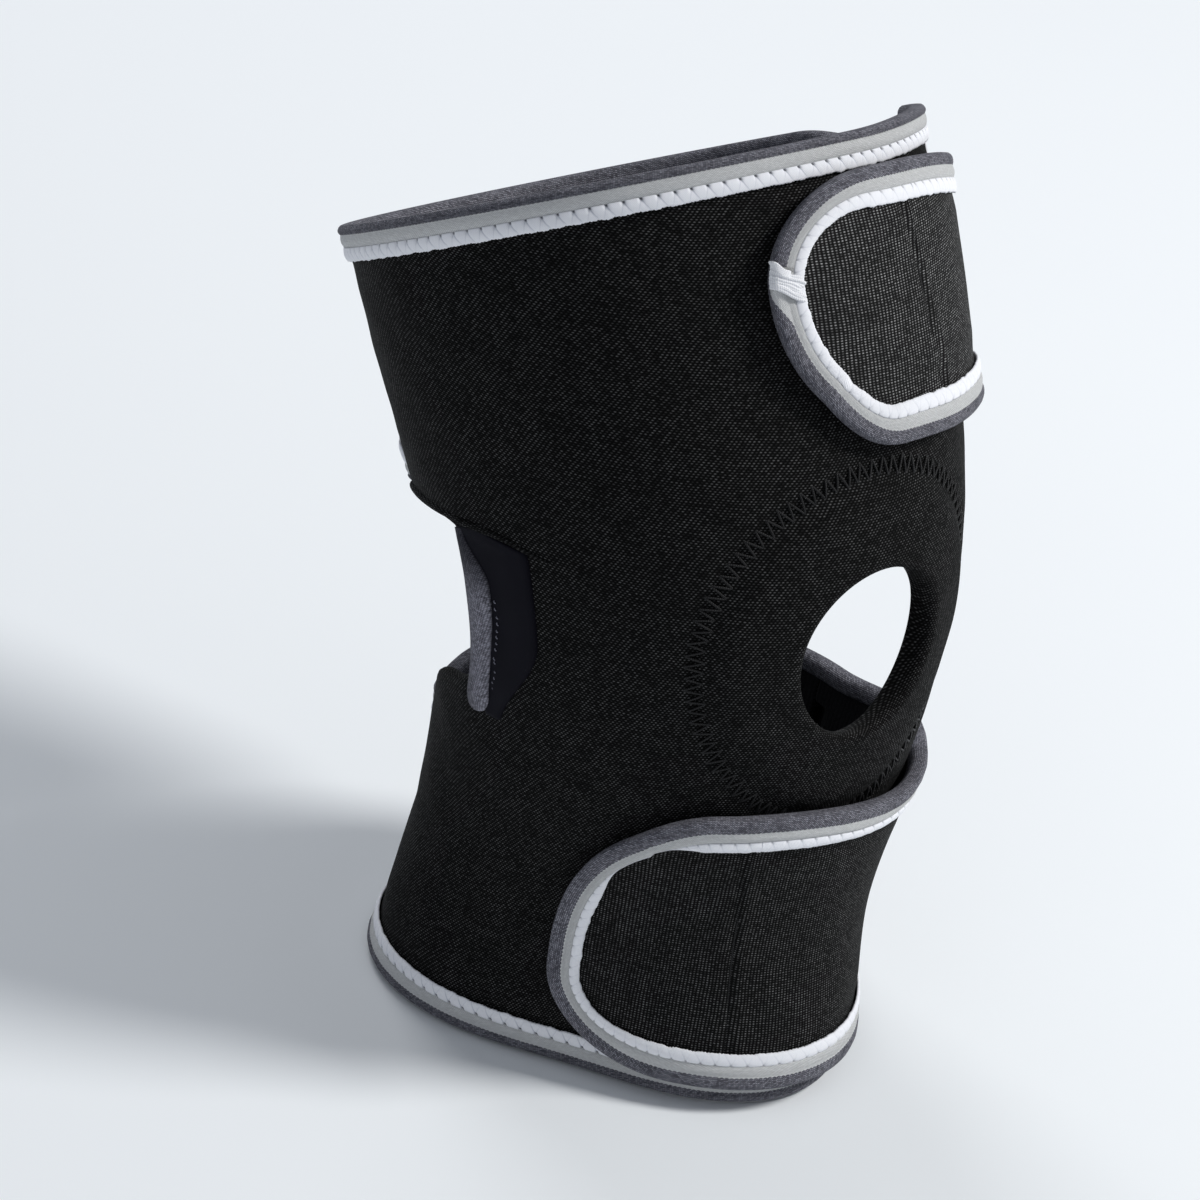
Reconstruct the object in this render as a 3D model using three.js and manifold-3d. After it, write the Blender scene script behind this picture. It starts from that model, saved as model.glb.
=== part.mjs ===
// Wrap-around knee brace with an open patella, standing on its calf hem.
// Millimetres, +Z up, the front of the knee faces -Y.
// The near side of the wrap is -X and the side where the straps come over the panel is +X.
import * as THREE from 'three';
import Module from 'manifold-3d';

// Limb form that the brace is shaped round
const REST_FLEXION = 30;
const CALF_STRAIGHT = 80;
const KNEE_ARC = 88;
const BRACE_LENGTH = 232;
const RIM_RISE = 2.4;
const SECTIONS = [
  { height: 0, radius: 63.7, forward: -7.8, oval: 3.3, ridge: 6 },
  { height: 46, radius: 60.3, forward: -6.2, oval: -0.5, ridge: 3.2 },
  { height: 97, radius: 66.3, forward: -1.6, oval: -2.8, ridge: 0 },
  { height: 134, radius: 70.8, forward: 2.2, oval: -1.5, ridge: 0 },
  { height: 184, radius: 75, forward: 1.3, oval: -0.3, ridge: 0 },
  { height: 232, radius: 78, forward: 0.4, oval: 0.1, ridge: 0 },
];
const ORIGIN_X = 1.05;
const ORIGIN_Y = 26.44;
const ORIGIN_Z = -1.1;

// Layers, as offsets from the outer face of the front panel
const NEOPRENE = 3.5;
const STRAP_THICK = 3.2;
const STRAP_LIFT = 2.1;
const HOOK_FACE = 0.5;
const HOOK_BACK = 1.8;
const GAP = 0.3;
const TONGUE_THICK = 2.6;
const TONGUE_FOOT = 98.5;
const TONGUE_TOP = 151;

// Front panel, measured round the limb in degrees from the front and along it from the calf hem
const FAR_EDGE = -60;
const KNEE_LOW = 82;
const KNEE_HIGH = 161;
const WING_SPREAD = 5;
const OPENING_EDGE = 96;
const OPENING_TOP = 149;
const OPENING_FOOT = 111;
const THIGH_WING_FROM = 124;
const CALF_WING_FROM = 130;

// Patella hole and the pieces round it
const HOLE_HEIGHT = 118;
const HOLE_RADIUS = 23.5;
const HOLE_ANGLE = -1.3;
const BUTTRESS_INNER = 26.8;
const BUTTRESS_OUTER = 44;
const BUTTRESS_DEPTH = 3;
const COVER_THICK = 0.8;
const ZIGZAG_RADIUS = 50.3;
const ZIGZAG_REACH = 2.2;
const ZIGZAG_WIDTH = 1.2;
const ZIGZAG_COUNT = 42;

// Straps: angles past the back, so that 300 is the far edge of the panel
const RAMP_END = 293;
const UPPER = {
  hinge: 230, rampStart: 258, seam: 344, end: 379.3, waist: 2.4,
  wingTop: 232, top: 222.5, wingBottom: 166, bottom: 158,
  cornerLength: 31, cornerTop: 26, cornerBottom: 37,
};
const LOWER = {
  hinge: 262, rampStart: 266, seam: 383, end: 429, waist: 0,
  wingTop: 77, top: 86.5, wingBottom: 0, bottom: 6.5,
  cornerLength: 34, cornerTop: 49, cornerBottom: 26,
};
const JOINT_GAP = 0.35;

// Edge trim: binding over the edge, piping strip, overlock stitching
const BINDING_WIDTH = 3.4;
const BINDING_CLOTH = 0.6;
const BINDING_WRAP = 1.1;
const PIPING_WIDTH = 3.2;
const STITCH_WIDTH = 3.5;
const TRIM_HEIGHT = 0.55;
const TRIM_SPACE = 0.3;

// Facets
const ANGLE_STEP = 7.5;
const HEIGHT_STEP = 11;
const KNEE_ROWS = 12;
const EDGE_COLUMNS = 4;
const CORNER_STEPS = 6;
const RING_STEPS = 36;

const COLOURS = {
  panel: 0x262626,
  strap: 0x2e2e2e,
  binding: 0x66686f,
  piping: 0xd6d8de,
  stitching: 0xf2f2f6,
  facing: 0x14131a,
  thread: 0x0b0b0c,
  hook: 0x1b1b1d,
  foam: 0x3a3a3c,
};

const wasm = await Module();
wasm.setup();

const rad = (degrees) => (degrees * Math.PI) / 180;
const deg = (radians) => (radians * 180) / Math.PI;
const clamp01 = (t) => Math.min(Math.max(t, 0), 1);
const smooth = (t) => clamp01(t) ** 2 * (3 - 2 * clamp01(t));
const mix = (a, b, t) => a + (b - a) * t;

// Slope of one section value at station i, for a smooth form between stations
function sectionSlope(key, i) {
  const last = SECTIONS.length - 1;
  const a = SECTIONS[Math.max(i - 1, 0)];
  const b = SECTIONS[i];
  const c = SECTIONS[Math.min(i + 1, last)];
  if (i === 0) return (c[key] - b[key]) / (c.height - b.height);
  if (i === last) return (b[key] - a[key]) / (b.height - a.height);
  const before = b.height - a.height;
  const after = c.height - b.height;
  const slopeBefore = (b[key] - a[key]) / before;
  const slopeAfter = (c[key] - b[key]) / after;
  return (slopeBefore * after + slopeAfter * before) / (before + after);
}

function sectionValue(key, s) {
  let i = 0;
  while (i < SECTIONS.length - 2 && s > SECTIONS[i + 1].height) i += 1;
  const a = SECTIONS[i];
  const b = SECTIONS[i + 1];
  const span = b.height - a.height;
  const u = (s - a.height) / span;
  const startSlope = sectionSlope(key, i) * span;
  const endSlope = sectionSlope(key, i + 1) * span;
  const rise = 3 * u * u - 2 * u * u * u;
  return a[key] * (1 - rise) + b[key] * rise
    + startSlope * (u * u * u - 2 * u * u + u) + endSlope * (u * u * u - u * u);
}

// Distance from the limb's centre line to the outer face of the panel
function girth(phi, s) {
  const a = rad(phi);
  return sectionValue('radius', s) + sectionValue('forward', s) * Math.cos(a)
    + sectionValue('oval', s) * Math.cos(2 * a) + sectionValue('ridge', s) * Math.cos(3 * a);
}

// Centre line of the limb: straight calf, bent knee, straight thigh leaning back
function centreLine(s) {
  const full = rad(REST_FLEXION);
  const bendRadius = KNEE_ARC / full;
  const tilt = clamp01((s - CALF_STRAIGHT) / KNEE_ARC) * full;
  const beyond = Math.max(s - CALF_STRAIGHT - KNEE_ARC, 0);
  const along = Math.min(s, CALF_STRAIGHT);
  return {
    y: bendRadius * (1 - Math.cos(tilt)) + beyond * Math.sin(tilt),
    z: along + bendRadius * Math.sin(tilt) + beyond * Math.cos(tilt),
    tilt,
  };
}

// A point on the form: phi round the limb, s along it, n out from the panel's outer face
function onForm(phi, s, n) {
  const centre = centreLine(s);
  const reach = girth(phi, s) + n;
  const back = -reach * Math.cos(rad(phi));
  return new THREE.Vector3(
    -reach * Math.sin(rad(phi)) - ORIGIN_X,
    centre.y + back * Math.cos(centre.tilt) - ORIGIN_Y,
    centre.z - back * Math.sin(centre.tilt) - ORIGIN_Z,
  );
}

// How much one millimetre of centre line stretches at the surface
function stretch(phi, s) {
  if (s < CALF_STRAIGHT || s > CALF_STRAIGHT + KNEE_ARC) return 1;
  return 1 + (girth(phi, s) * Math.cos(rad(phi)) * rad(REST_FLEXION)) / KNEE_ARC;
}

// A point moved over the surface by millimetres round and millimetres along
function shifted(at, round, along) {
  return {
    phi: at.phi + deg(round / girth(at.phi, at.s)),
    s: at.s + along / stretch(at.phi, at.s),
    base: at.base ?? 0,
    thick: at.thick ?? NEOPRENE,
  };
}

// The step grid between two ends, shared by every layer so that the facets stay parallel
function steps(from, to, step) {
  const list = [from];
  for (let k = Math.floor(from / step) + 1; k * step < to - 0.3 * step; k += 1) {
    if (k * step > from + 0.3 * step) list.push(k * step);
  }
  list.push(to);
  return list;
}

class Solid {
  constructor() {
    this.points = [];
    this.faces = [];
  }

  point(p) {
    this.points.push(p.x, p.y, p.z);
    return this.points.length / 3 - 1;
  }

  quad(a, b, c, d) {
    this.faces.push(a, b, c, a, c, d);
  }

  signedVolume() {
    const at = (i) => new THREE.Vector3().fromArray(this.points, i * 3);
    let total = 0;
    for (let f = 0; f < this.faces.length; f += 3) {
      const cross = at(this.faces[f + 1]).cross(at(this.faces[f + 2]));
      total += at(this.faces[f]).dot(cross);
    }
    return total;
  }

  geometry() {
    if (this.signedVolume() < 0) this.faces.reverse();
    const geometry = new THREE.BufferGeometry();
    geometry.setAttribute('position', new THREE.Float32BufferAttribute(this.points, 3));
    geometry.setIndex(this.faces);
    return geometry;
  }
}

// A thick sheet on a grid of columns and rows; at(i, j) gives phi, s, inner and outer offsets
function gridSheet(columns, rows, at) {
  const solid = new Solid();
  const outer = [];
  const inner = [];
  for (let i = 0; i < columns; i += 1) {
    outer.push([]);
    inner.push([]);
    for (let j = 0; j < rows; j += 1) {
      const cell = at(i, j);
      outer[i].push(solid.point(onForm(cell.phi, cell.s, cell.outer)));
      inner[i].push(solid.point(onForm(cell.phi, cell.s, cell.inner)));
    }
  }
  const last = columns - 1;
  const top = rows - 1;
  for (let i = 0; i < last; i += 1) {
    for (let j = 0; j < top; j += 1) {
      solid.quad(outer[i][j], outer[i + 1][j], outer[i + 1][j + 1], outer[i][j + 1]);
      solid.quad(inner[i][j], inner[i][j + 1], inner[i + 1][j + 1], inner[i + 1][j]);
    }
    solid.quad(outer[i][0], inner[i][0], inner[i + 1][0], outer[i + 1][0]);
    solid.quad(outer[i][top], outer[i + 1][top], inner[i + 1][top], inner[i][top]);
  }
  for (let j = 0; j < top; j += 1) {
    solid.quad(outer[0][j], outer[0][j + 1], inner[0][j + 1], inner[0][j]);
    solid.quad(outer[last][j], inner[last][j], inner[last][j + 1], outer[last][j + 1]);
  }
  return solid.geometry();
}

// A sheet bounded by two edge heights, each a function of the angle
function bandSheet(from, to, low, high, inner, outer, rows) {
  const angles = steps(from, to, ANGLE_STEP);
  return gridSheet(angles.length, rows + 1, (i, j) => {
    const phi = angles[i];
    return { phi, s: mix(low(phi), high(phi), j / rows), inner: inner(phi), outer: outer(phi) };
  });
}

// Directions at each stop of an edge path: millimetres round and along, pointing into the cloth
function inwardNormals(path, side, closed) {
  return path.map((at, i) => {
    const count = path.length;
    const before = closed ? path[(i + count - 1) % count] : path[Math.max(i - 1, 0)];
    const after = closed ? path[(i + 1) % count] : path[Math.min(i + 1, count - 1)];
    const round = rad(after.phi - before.phi) * girth(at.phi, at.s);
    const along = (after.s - before.s) * stretch(at.phi, at.s);
    const size = Math.hypot(round, along);
    return { round: (-side * along) / size, along: (side * round) / size };
  });
}

// A profile of [inward distance, offset] swept along an edge path
function sweepEdge(path, side, profile) {
  const solid = new Solid();
  const normals = inwardNormals(path, side, false);
  const rings = path.map((at, i) => profile(at).map(([inward, offset]) => {
    const spot = shifted(at, normals[i].round * inward, normals[i].along * inward);
    const rise = at.rise ? at.rise(spot.phi) - at.base : 0;
    return solid.point(onForm(spot.phi, spot.s, offset + rise));
  }));
  const count = rings[0].length;
  for (let i = 0; i + 1 < rings.length; i += 1) {
    for (let k = 0; k < count; k += 1) {
      const next = (k + 1) % count;
      solid.quad(rings[i][k], rings[i][next], rings[i + 1][next], rings[i + 1][k]);
    }
  }
  const outline = profile(path[0]).map(([x, y]) => new THREE.Vector2(x, y));
  const flipped = THREE.ShapeUtils.isClockWise(outline);
  const finish = rings[rings.length - 1];
  for (const [a, b, c] of THREE.ShapeUtils.triangulateShape(outline, [])) {
    if (flipped) {
      solid.faces.push(rings[0][a], rings[0][b], rings[0][c]);
      solid.faces.push(finish[a], finish[c], finish[b]);
    } else {
      solid.faces.push(rings[0][a], rings[0][c], rings[0][b]);
      solid.faces.push(finish[a], finish[b], finish[c]);
    }
  }
  return solid.geometry();
}

// Profiles of the three trim pieces, seen along the edge
function bindingProfile(at) {
  const top = at.base;
  const bottom = at.base - at.thick;
  const cloth = GAP + BINDING_CLOTH;
  return [
    [BINDING_WIDTH, top + cloth],
    [-BINDING_WRAP, top + cloth],
    [-BINDING_WRAP, bottom - cloth],
    [BINDING_WIDTH, bottom - cloth],
    [BINDING_WIDTH, bottom - GAP],
    [-GAP, bottom - GAP],
    [-GAP, top + GAP],
    [BINDING_WIDTH, top + GAP],
  ];
}

function stripProfile(from, width) {
  return (at) => [
    [from, at.base + GAP],
    [from + width, at.base + GAP],
    [from + width, at.base + GAP + TRIM_HEIGHT],
    [from, at.base + GAP + TRIM_HEIGHT],
  ];
}

const PIPING_FROM = BINDING_WIDTH + TRIM_SPACE;
const STITCH_FROM = PIPING_FROM + PIPING_WIDTH + TRIM_SPACE;
const TRIM_TOTAL = STITCH_FROM + STITCH_WIDTH;

function makeMaterial(colour) {
  return new THREE.MeshStandardMaterial({ color: colour, roughness: 0.9, metalness: 0 });
}

const group = new THREE.Group();
group.name = 'open_patella_knee_brace';

function addPiece(name, geometry, colour) {
  geometry.computeVertexNormals();
  const mesh = new THREE.Mesh(geometry, makeMaterial(colour));
  mesh.name = name;
  group.add(mesh);
}

// The three trim pieces along one edge; skips shortens the inner strips at the two ends
function addTrim(name, path, side, inside = path) {
  addPiece(`${name}_binding`, sweepEdge(path, side, bindingProfile), COLOURS.binding);
  const piping = stripProfile(PIPING_FROM, PIPING_WIDTH);
  addPiece(`${name}_piping`, sweepEdge(inside, side, piping), COLOURS.piping);
  const stitching = stripProfile(STITCH_FROM, STITCH_WIDTH);
  addPiece(`${name}_stitching`, sweepEdge(inside, side, stitching), COLOURS.stitching);
}

// A path at a height that may change with the angle
function roundPath(from, to, height, base = () => 0, thick = () => NEOPRENE) {
  return steps(from, to, ANGLE_STEP).map((phi) => (
    { phi, s: height(phi), base: base(phi), thick: thick(phi), rise: base }));
}

function degreesFor(length, phi, s) {
  return deg(length / girth(phi, s));
}

// Popliteal edges of the two wings: they part a little towards the back
const wingPart = (phi, from) => WING_SPREAD * smooth((phi - from) / 30);
const thighLow = (phi) => KNEE_HIGH + wingPart(phi, THIGH_WING_FROM);
const calfHigh = (phi) => KNEE_LOW - wingPart(phi, CALF_WING_FROM);

// The thigh rim stands a little higher towards the far edge
const rimHeight = (phi) => BRACE_LENGTH + RIM_RISE * smooth((-phi - 8) / 40);

// Near edge of the knee zone, running out into the turned edges of the wings above and below
function openingEdge(s) {
  if (s > OPENING_TOP) {
    const up = (s - OPENING_TOP) / (KNEE_HIGH - OPENING_TOP);
    return mix(OPENING_EDGE, THIGH_WING_FROM, Math.min(up, 1) ** 1.5);
  }
  if (s < OPENING_FOOT) {
    const down = (OPENING_FOOT - s) / (OPENING_FOOT - KNEE_LOW);
    return mix(OPENING_EDGE, CALF_WING_FROM, Math.min(down, 1) ** 0.7);
  }
  return OPENING_EDGE;
}

function addPanels() {
  const outer = () => 0;
  const inner = () => -NEOPRENE;
  const hem = () => 0;
  const upperEnd = UPPER.hinge - degreesFor(JOINT_GAP, UPPER.hinge, 200);
  const lowerEnd = LOWER.hinge - degreesFor(JOINT_GAP, LOWER.hinge, 40);
  const thigh = bandSheet(FAR_EDGE, upperEnd, thighLow, rimHeight, inner, outer, 5);
  addPiece('thigh_panel', thigh, COLOURS.panel);
  const calf = bandSheet(FAR_EDGE, lowerEnd, hem, calfHigh, inner, outer, 5);
  addPiece('calf_panel', calf, COLOURS.panel);
  addPiece('knee_panel', kneePanel(), COLOURS.panel);
}

// Knee zone of the front panel, from its far edge to the flared popliteal opening, with the hole
function kneePanel() {
  const low = KNEE_LOW + JOINT_GAP;
  const high = KNEE_HIGH - JOINT_GAP;
  const grid = steps(FAR_EDGE, OPENING_EDGE - 12, ANGLE_STEP);
  const sheet = gridSheet(grid.length + EDGE_COLUMNS, KNEE_ROWS + 1, (i, j) => {
    const s = mix(low, high, j / KNEE_ROWS);
    const edge = openingEdge(s);
    const from = grid[grid.length - 1];
    const past = i - grid.length + 1;
    const phi = past > 0 ? mix(from, edge, past / EDGE_COLUMNS) : grid[i];
    return { phi, s, inner: -NEOPRENE, outer: 0 };
  });
  return cutHole(sheet);
}

function toManifold(geometry) {
  const mesh = new wasm.Mesh({
    numProp: 3,
    vertProperties: new Float32Array(geometry.getAttribute('position').array),
    triVerts: new Uint32Array(geometry.getIndex().array),
  });
  return new wasm.Manifold(mesh);
}

function fromManifold(body) {
  const mesh = body.getMesh();
  const geometry = new THREE.BufferGeometry();
  const points = new THREE.Float32BufferAttribute(mesh.vertProperties, 3);
  geometry.setAttribute('position', points);
  geometry.setIndex(Array.from(mesh.triVerts));
  return geometry;
}

// Direction straight out of the form at the middle of the patella hole
function holeNormal() {
  const above = onForm(0, HOLE_HEIGHT + 5, 0);
  const below = onForm(0, HOLE_HEIGHT - 5, 0);
  const up = above.sub(below).normalize();
  return new THREE.Vector3(0, -up.z, up.y);
}

function cutHole(sheet) {
  const middle = onForm(HOLE_ANGLE, HOLE_HEIGHT, 0);
  const normal = holeNormal();
  const side = new THREE.Vector3(1, 0, 0);
  const up = new THREE.Vector3().crossVectors(normal, side);
  const solid = new Solid();
  const ends = [-25, 25].map((depth) => {
    const ring = [];
    for (let k = 0; k < RING_STEPS; k += 1) {
      const turn = (2 * Math.PI * k) / RING_STEPS;
      const p = middle.clone().addScaledVector(normal, depth);
      p.addScaledVector(side, HOLE_RADIUS * Math.sin(turn));
      p.addScaledVector(up, HOLE_RADIUS * Math.cos(turn));
      ring.push(solid.point(p));
    }
    return ring;
  });
  for (let k = 0; k < RING_STEPS; k += 1) {
    const next = (k + 1) % RING_STEPS;
    solid.quad(ends[0][k], ends[0][next], ends[1][next], ends[1][k]);
    if (k > 0 && k + 1 < RING_STEPS) {
      solid.faces.push(ends[0][0], ends[0][k + 1], ends[0][k]);
      solid.faces.push(ends[1][0], ends[1][k], ends[1][k + 1]);
    }
  }
  return fromManifold(toManifold(sheet).subtract(toManifold(solid.geometry())));
}

// A point at a distance and turn from the middle of the patella ring, over the surface
function roundHole(distance, turn) {
  const middle = { phi: 0, s: HOLE_HEIGHT };
  return shifted(middle, distance * Math.sin(turn), distance * Math.cos(turn));
}

// A closed ring round the hole; profile(turn) lists [distance, offset] corners
function ringRoundHole(count, profile) {
  const solid = new Solid();
  const rings = [];
  for (let k = 0; k < count; k += 1) {
    const turn = (2 * Math.PI * k) / count;
    rings.push(profile(k).map(([distance, offset]) => {
      const spot = roundHole(distance, turn);
      return solid.point(onForm(spot.phi, spot.s, offset));
    }));
  }
  const corners = rings[0].length;
  for (let k = 0; k < count; k += 1) {
    const ahead = rings[(k + 1) % count];
    for (let c = 0; c < corners; c += 1) {
      const next = (c + 1) % corners;
      solid.quad(rings[k][c], rings[k][next], ahead[next], ahead[c]);
    }
  }
  return solid.geometry();
}

function addPatellaPieces() {
  const face = -NEOPRENE - 2 * GAP;
  const deep = face - BUTTRESS_DEPTH;
  const inside = BUTTRESS_INNER;
  const thirds = [1, 2].map((k) => mix(inside, BUTTRESS_OUTER, k / 3));
  const buttress = [
    [inside, face], [thirds[0], face], [thirds[1], face], [BUTTRESS_OUTER, face],
    [BUTTRESS_OUTER, face - 1.2], [thirds[1], mix(face - 1.2, deep, 0.55)],
    [thirds[0], deep], [inside, deep + 0.6],
  ];
  addPiece('patella_buttress', ringRoundHole(RING_STEPS, () => buttress), COLOURS.foam);
  const lid = -GAP - COVER_THICK;
  const under = buttress.slice(4).map(([distance, offset]) => [distance, offset - GAP]);
  const outerRing = ZIGZAG_RADIUS + 3;
  const cover = [
    [BUTTRESS_OUTER + 1.2, face], [outerRing, face], [outerRing, face - COVER_THICK],
    [BUTTRESS_OUTER + 1.6, face - COVER_THICK], [BUTTRESS_OUTER + 0.6, under[0][1] + lid],
    [under[1][0], under[1][1] + lid], [under[2][0], under[2][1] + lid],
    [inside - 0.6, under[3][1] + lid],
    [inside - 0.6, under[3][1] - GAP], under[2].map((v, k) => v - k * GAP),
    under[1].map((v, k) => v - k * GAP), [BUTTRESS_OUTER + 0.5, under[0][1] - GAP],
  ];
  addPiece('buttress_cover', ringRoundHole(RING_STEPS, () => cover), COLOURS.facing);
  const zigzag = (k) => {
    const middle = ZIGZAG_RADIUS + (k % 2 ? ZIGZAG_REACH : -ZIGZAG_REACH);
    const low = GAP + 0.05;
    const high = low + 0.5;
    return [
      [middle - ZIGZAG_WIDTH / 2, low], [middle + ZIGZAG_WIDTH / 2, low],
      [middle + ZIGZAG_WIDTH / 2, high], [middle - ZIGZAG_WIDTH / 2, high],
    ];
  };
  addPiece('patella_zigzag', ringRoundHole(ZIGZAG_COUNT * 2, zigzag), COLOURS.thread);
}

// Left and right borders of the rolled tongue that covers the near edge of the opening
function tongueLeft(s) {
  return OPENING_EDGE + 1.2 + 4 * clamp01((122 - s) / 24) ** 2;
}

function tongueRight(s) {
  return mix(91, 88.3, smooth((s - 100) / 34)) + 7 * smooth((s - 136) / 16);
}

// Popliteal opening on the near side: rolled tongue, fine seam and smooth facing
function addOpening() {
  const foot = TONGUE_FOOT;
  const top = TONGUE_TOP;
  const rows = 10;
  const tongue = gridSheet(6, rows + 1, (i, j) => {
    const s = mix(foot, top, j / rows);
    const round = Math.sqrt(1 - (1 - clamp01((s - foot + 0.6) / 6)) ** 2);
    const middle = (tongueLeft(s) + tongueRight(s)) / 2;
    const half = ((tongueLeft(s) - tongueRight(s)) / 2) * round;
    const across = (i / 5) * 2 - 1;
    const crown = TONGUE_THICK * (0.35 + 0.65 * (1 - across * across)) * (0.5 + 0.5 * round);
    return { phi: middle + half * across, s, inner: GAP, outer: GAP + crown };
  });
  addPiece('opening_binding', tongue, COLOURS.binding);
  const seam = [];
  for (let s = foot + 5; s <= top - 10; s += 5) {
    seam.push({ phi: tongueRight(s) - 0.6, s, base: 0, thick: NEOPRENE });
  }
  addPiece('opening_seam', sweepEdge(seam, 1, stripProfile(0, 0.9)), COLOURS.thread);
  const facing = gridSheet(5, rows + 1, (i, j) => {
    const s = mix(foot + 1.5, top - 2, j / rows);
    const start = tongueRight(s) - 2.4;
    const border = facingBorder(s);
    return { phi: mix(start, Math.min(border, start - 0.8), i / 4), s, inner: GAP, outer: GAP + 0.5 };
  });
  addPiece('opening_facing', facing, COLOURS.facing);
}

// Front border of the smooth facing: bowed, and cut off along the turned edge of the thigh wing
function facingBorder(s) {
  const low = 76.5 + 11.5 * (1 - smooth((s - 97) / 26));
  const cut = 76 + 19 * clamp01((s - 145) / 8.5);
  return Math.max(low, cut);
}

function addPanelTrims() {
  const corner = degreesFor(BINDING_WIDTH + 3 * TRIM_SPACE, FAR_EDGE, 46);
  const upperEnd = UPPER.hinge - degreesFor(JOINT_GAP, UPPER.hinge, 200);
  const lowerEnd = LOWER.hinge - degreesFor(JOINT_GAP, LOWER.hinge, 40);
  const hem = () => 0;
  const inner = FAR_EDGE + corner;
  const rim = (from) => roundPath(from, upperEnd, rimHeight);
  addTrim('thigh_rim', rim(FAR_EDGE), -1, rim(inner));
  addTrim('calf_hem', roundPath(FAR_EDGE, lowerEnd, hem), 1, roundPath(inner, lowerEnd, hem));
  addTrim('thigh_wing', roundPath(THIGH_WING_FROM + 2, upperEnd, thighLow), 1);
  addTrim('calf_wing', roundPath(CALF_WING_FROM + 2, lowerEnd, calfHigh), -1);
  const side = (low, high) => steps(low, high, HEIGHT_STEP).map((s) => (
    { phi: FAR_EDGE, s, base: 0, thick: NEOPRENE }));
  const cornerHigh = rimHeight(FAR_EDGE) - BINDING_WIDTH - TRIM_SPACE;
  const cornerLow = BINDING_WIDTH + TRIM_SPACE;
  const stripHigh = rimHeight(FAR_EDGE) - TRIM_TOTAL - TRIM_SPACE;
  const stripLow = TRIM_TOTAL + TRIM_SPACE;
  const kneeFrom = KNEE_LOW + JOINT_GAP;
  const kneeTo = KNEE_HIGH - JOINT_GAP;
  addTrim('thigh_side', side(KNEE_HIGH, cornerHigh), -1, side(KNEE_HIGH, stripHigh));
  addTrim('knee_side', side(kneeFrom, kneeTo), -1);
  addTrim('calf_side', side(cornerLow, KNEE_LOW), -1, side(stripLow, KNEE_LOW));
}

// Offset of the inner face of a strap: level with the wing at first, then over the panel
function strapRise(strap, phi) {
  return smooth((phi - strap.rampStart) / (RAMP_END - strap.rampStart));
}

function strapInner(strap, phi) {
  return mix(-NEOPRENE, STRAP_LIFT, strapRise(strap, phi));
}

function strapThick(strap, phi) {
  return mix(NEOPRENE, STRAP_THICK, strapRise(strap, phi));
}

// A strap may be narrower where it crosses the far edge, and widen again to its tab
function strapWaist(strap, phi) {
  return strap.waist * (1 - smooth((phi - 305) / (strap.seam - 305)));
}

function strapTop(strap, phi) {
  return mix(strap.wingTop, strap.top - strapWaist(strap, phi), strapRise(strap, phi));
}

function strapBottom(strap, phi) {
  return mix(strap.wingBottom, strap.bottom + strapWaist(strap, phi), strapRise(strap, phi));
}

function addStrap(name, strap) {
  const middle = (strap.top + strap.bottom) / 2;
  const from = strap.hinge + degreesFor(JOINT_GAP, strap.hinge, middle);
  const to = strap.seam - degreesFor(JOINT_GAP, strap.seam, middle);
  const inner = (phi) => strapInner(strap, phi);
  const thick = (phi) => strapThick(strap, phi);
  const outer = (phi) => inner(phi) + thick(phi);
  const low = (phi) => strapBottom(strap, phi);
  const high = (phi) => strapTop(strap, phi);
  addPiece(name, bandSheet(from, to, low, high, inner, outer, 5), COLOURS.strap);
  addTrim(`${name}_top`, roundPath(from, to, high, outer, thick), -1);
  addTrim(`${name}_bottom`, roundPath(from, to, low, outer, thick), 1);
}

// Columns of a tab from the seam to its rounded end
function tabColumns(tab, inset) {
  const middle = (tab.top + tab.bottom) / 2;
  const from = tab.seam + degreesFor(JOINT_GAP, tab.seam, middle) + (inset ? 4 : 0);
  const reach = degreesFor(tab.cornerLength - inset, tab.end, middle);
  const last = tab.end - degreesFor(inset, tab.end, middle);
  const columns = steps(from, last - reach, ANGLE_STEP).map((phi) => (
    { phi, top: tab.top - inset, bottom: tab.bottom + inset }));
  for (let k = 1; k <= CORNER_STEPS; k += 1) {
    const turn = (Math.PI / 2) * (k / CORNER_STEPS);
    const drop = 1 - Math.cos(turn);
    columns.push({
      phi: last - reach + reach * Math.sin(turn),
      top: tab.top - inset - (tab.cornerTop - inset) * drop,
      bottom: tab.bottom + inset + (tab.cornerBottom - inset) * drop,
    });
  }
  return columns;
}

function tabSheet(tab, inset, inner, outer) {
  const columns = tabColumns(tab, inset);
  const rows = 7;
  return gridSheet(columns.length, rows + 1, (i, j) => {
    const column = columns[i];
    return { phi: column.phi, s: mix(column.bottom, column.top, j / rows), inner, outer };
  });
}

function tabPath(tab) {
  const columns = tabColumns(tab, 0);
  const base = STRAP_LIFT + STRAP_THICK;
  const stop = (phi, s) => ({ phi, s, base, thick: STRAP_THICK });
  const over = columns.map((column) => stop(column.phi, column.top));
  const under = columns.map((column) => stop(column.phi, column.bottom)).reverse();
  const last = columns[columns.length - 1];
  if (last.top - last.bottom < 3) {
    over.pop();
    under.shift();
    over.push(stop(last.phi, (last.top + last.bottom) / 2));
  }
  return over.concat(under);
}

function addTab(name, tab) {
  const outer = STRAP_LIFT + STRAP_THICK;
  addPiece(name, tabSheet(tab, 0, STRAP_LIFT, outer), COLOURS.strap);
  addPiece(`${name}_hook_patch`, tabSheet(tab, 9, HOOK_FACE, HOOK_BACK), COLOURS.hook);
  addTrim(`${name}_edge`, tabPath(tab), -1);
}

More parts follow.
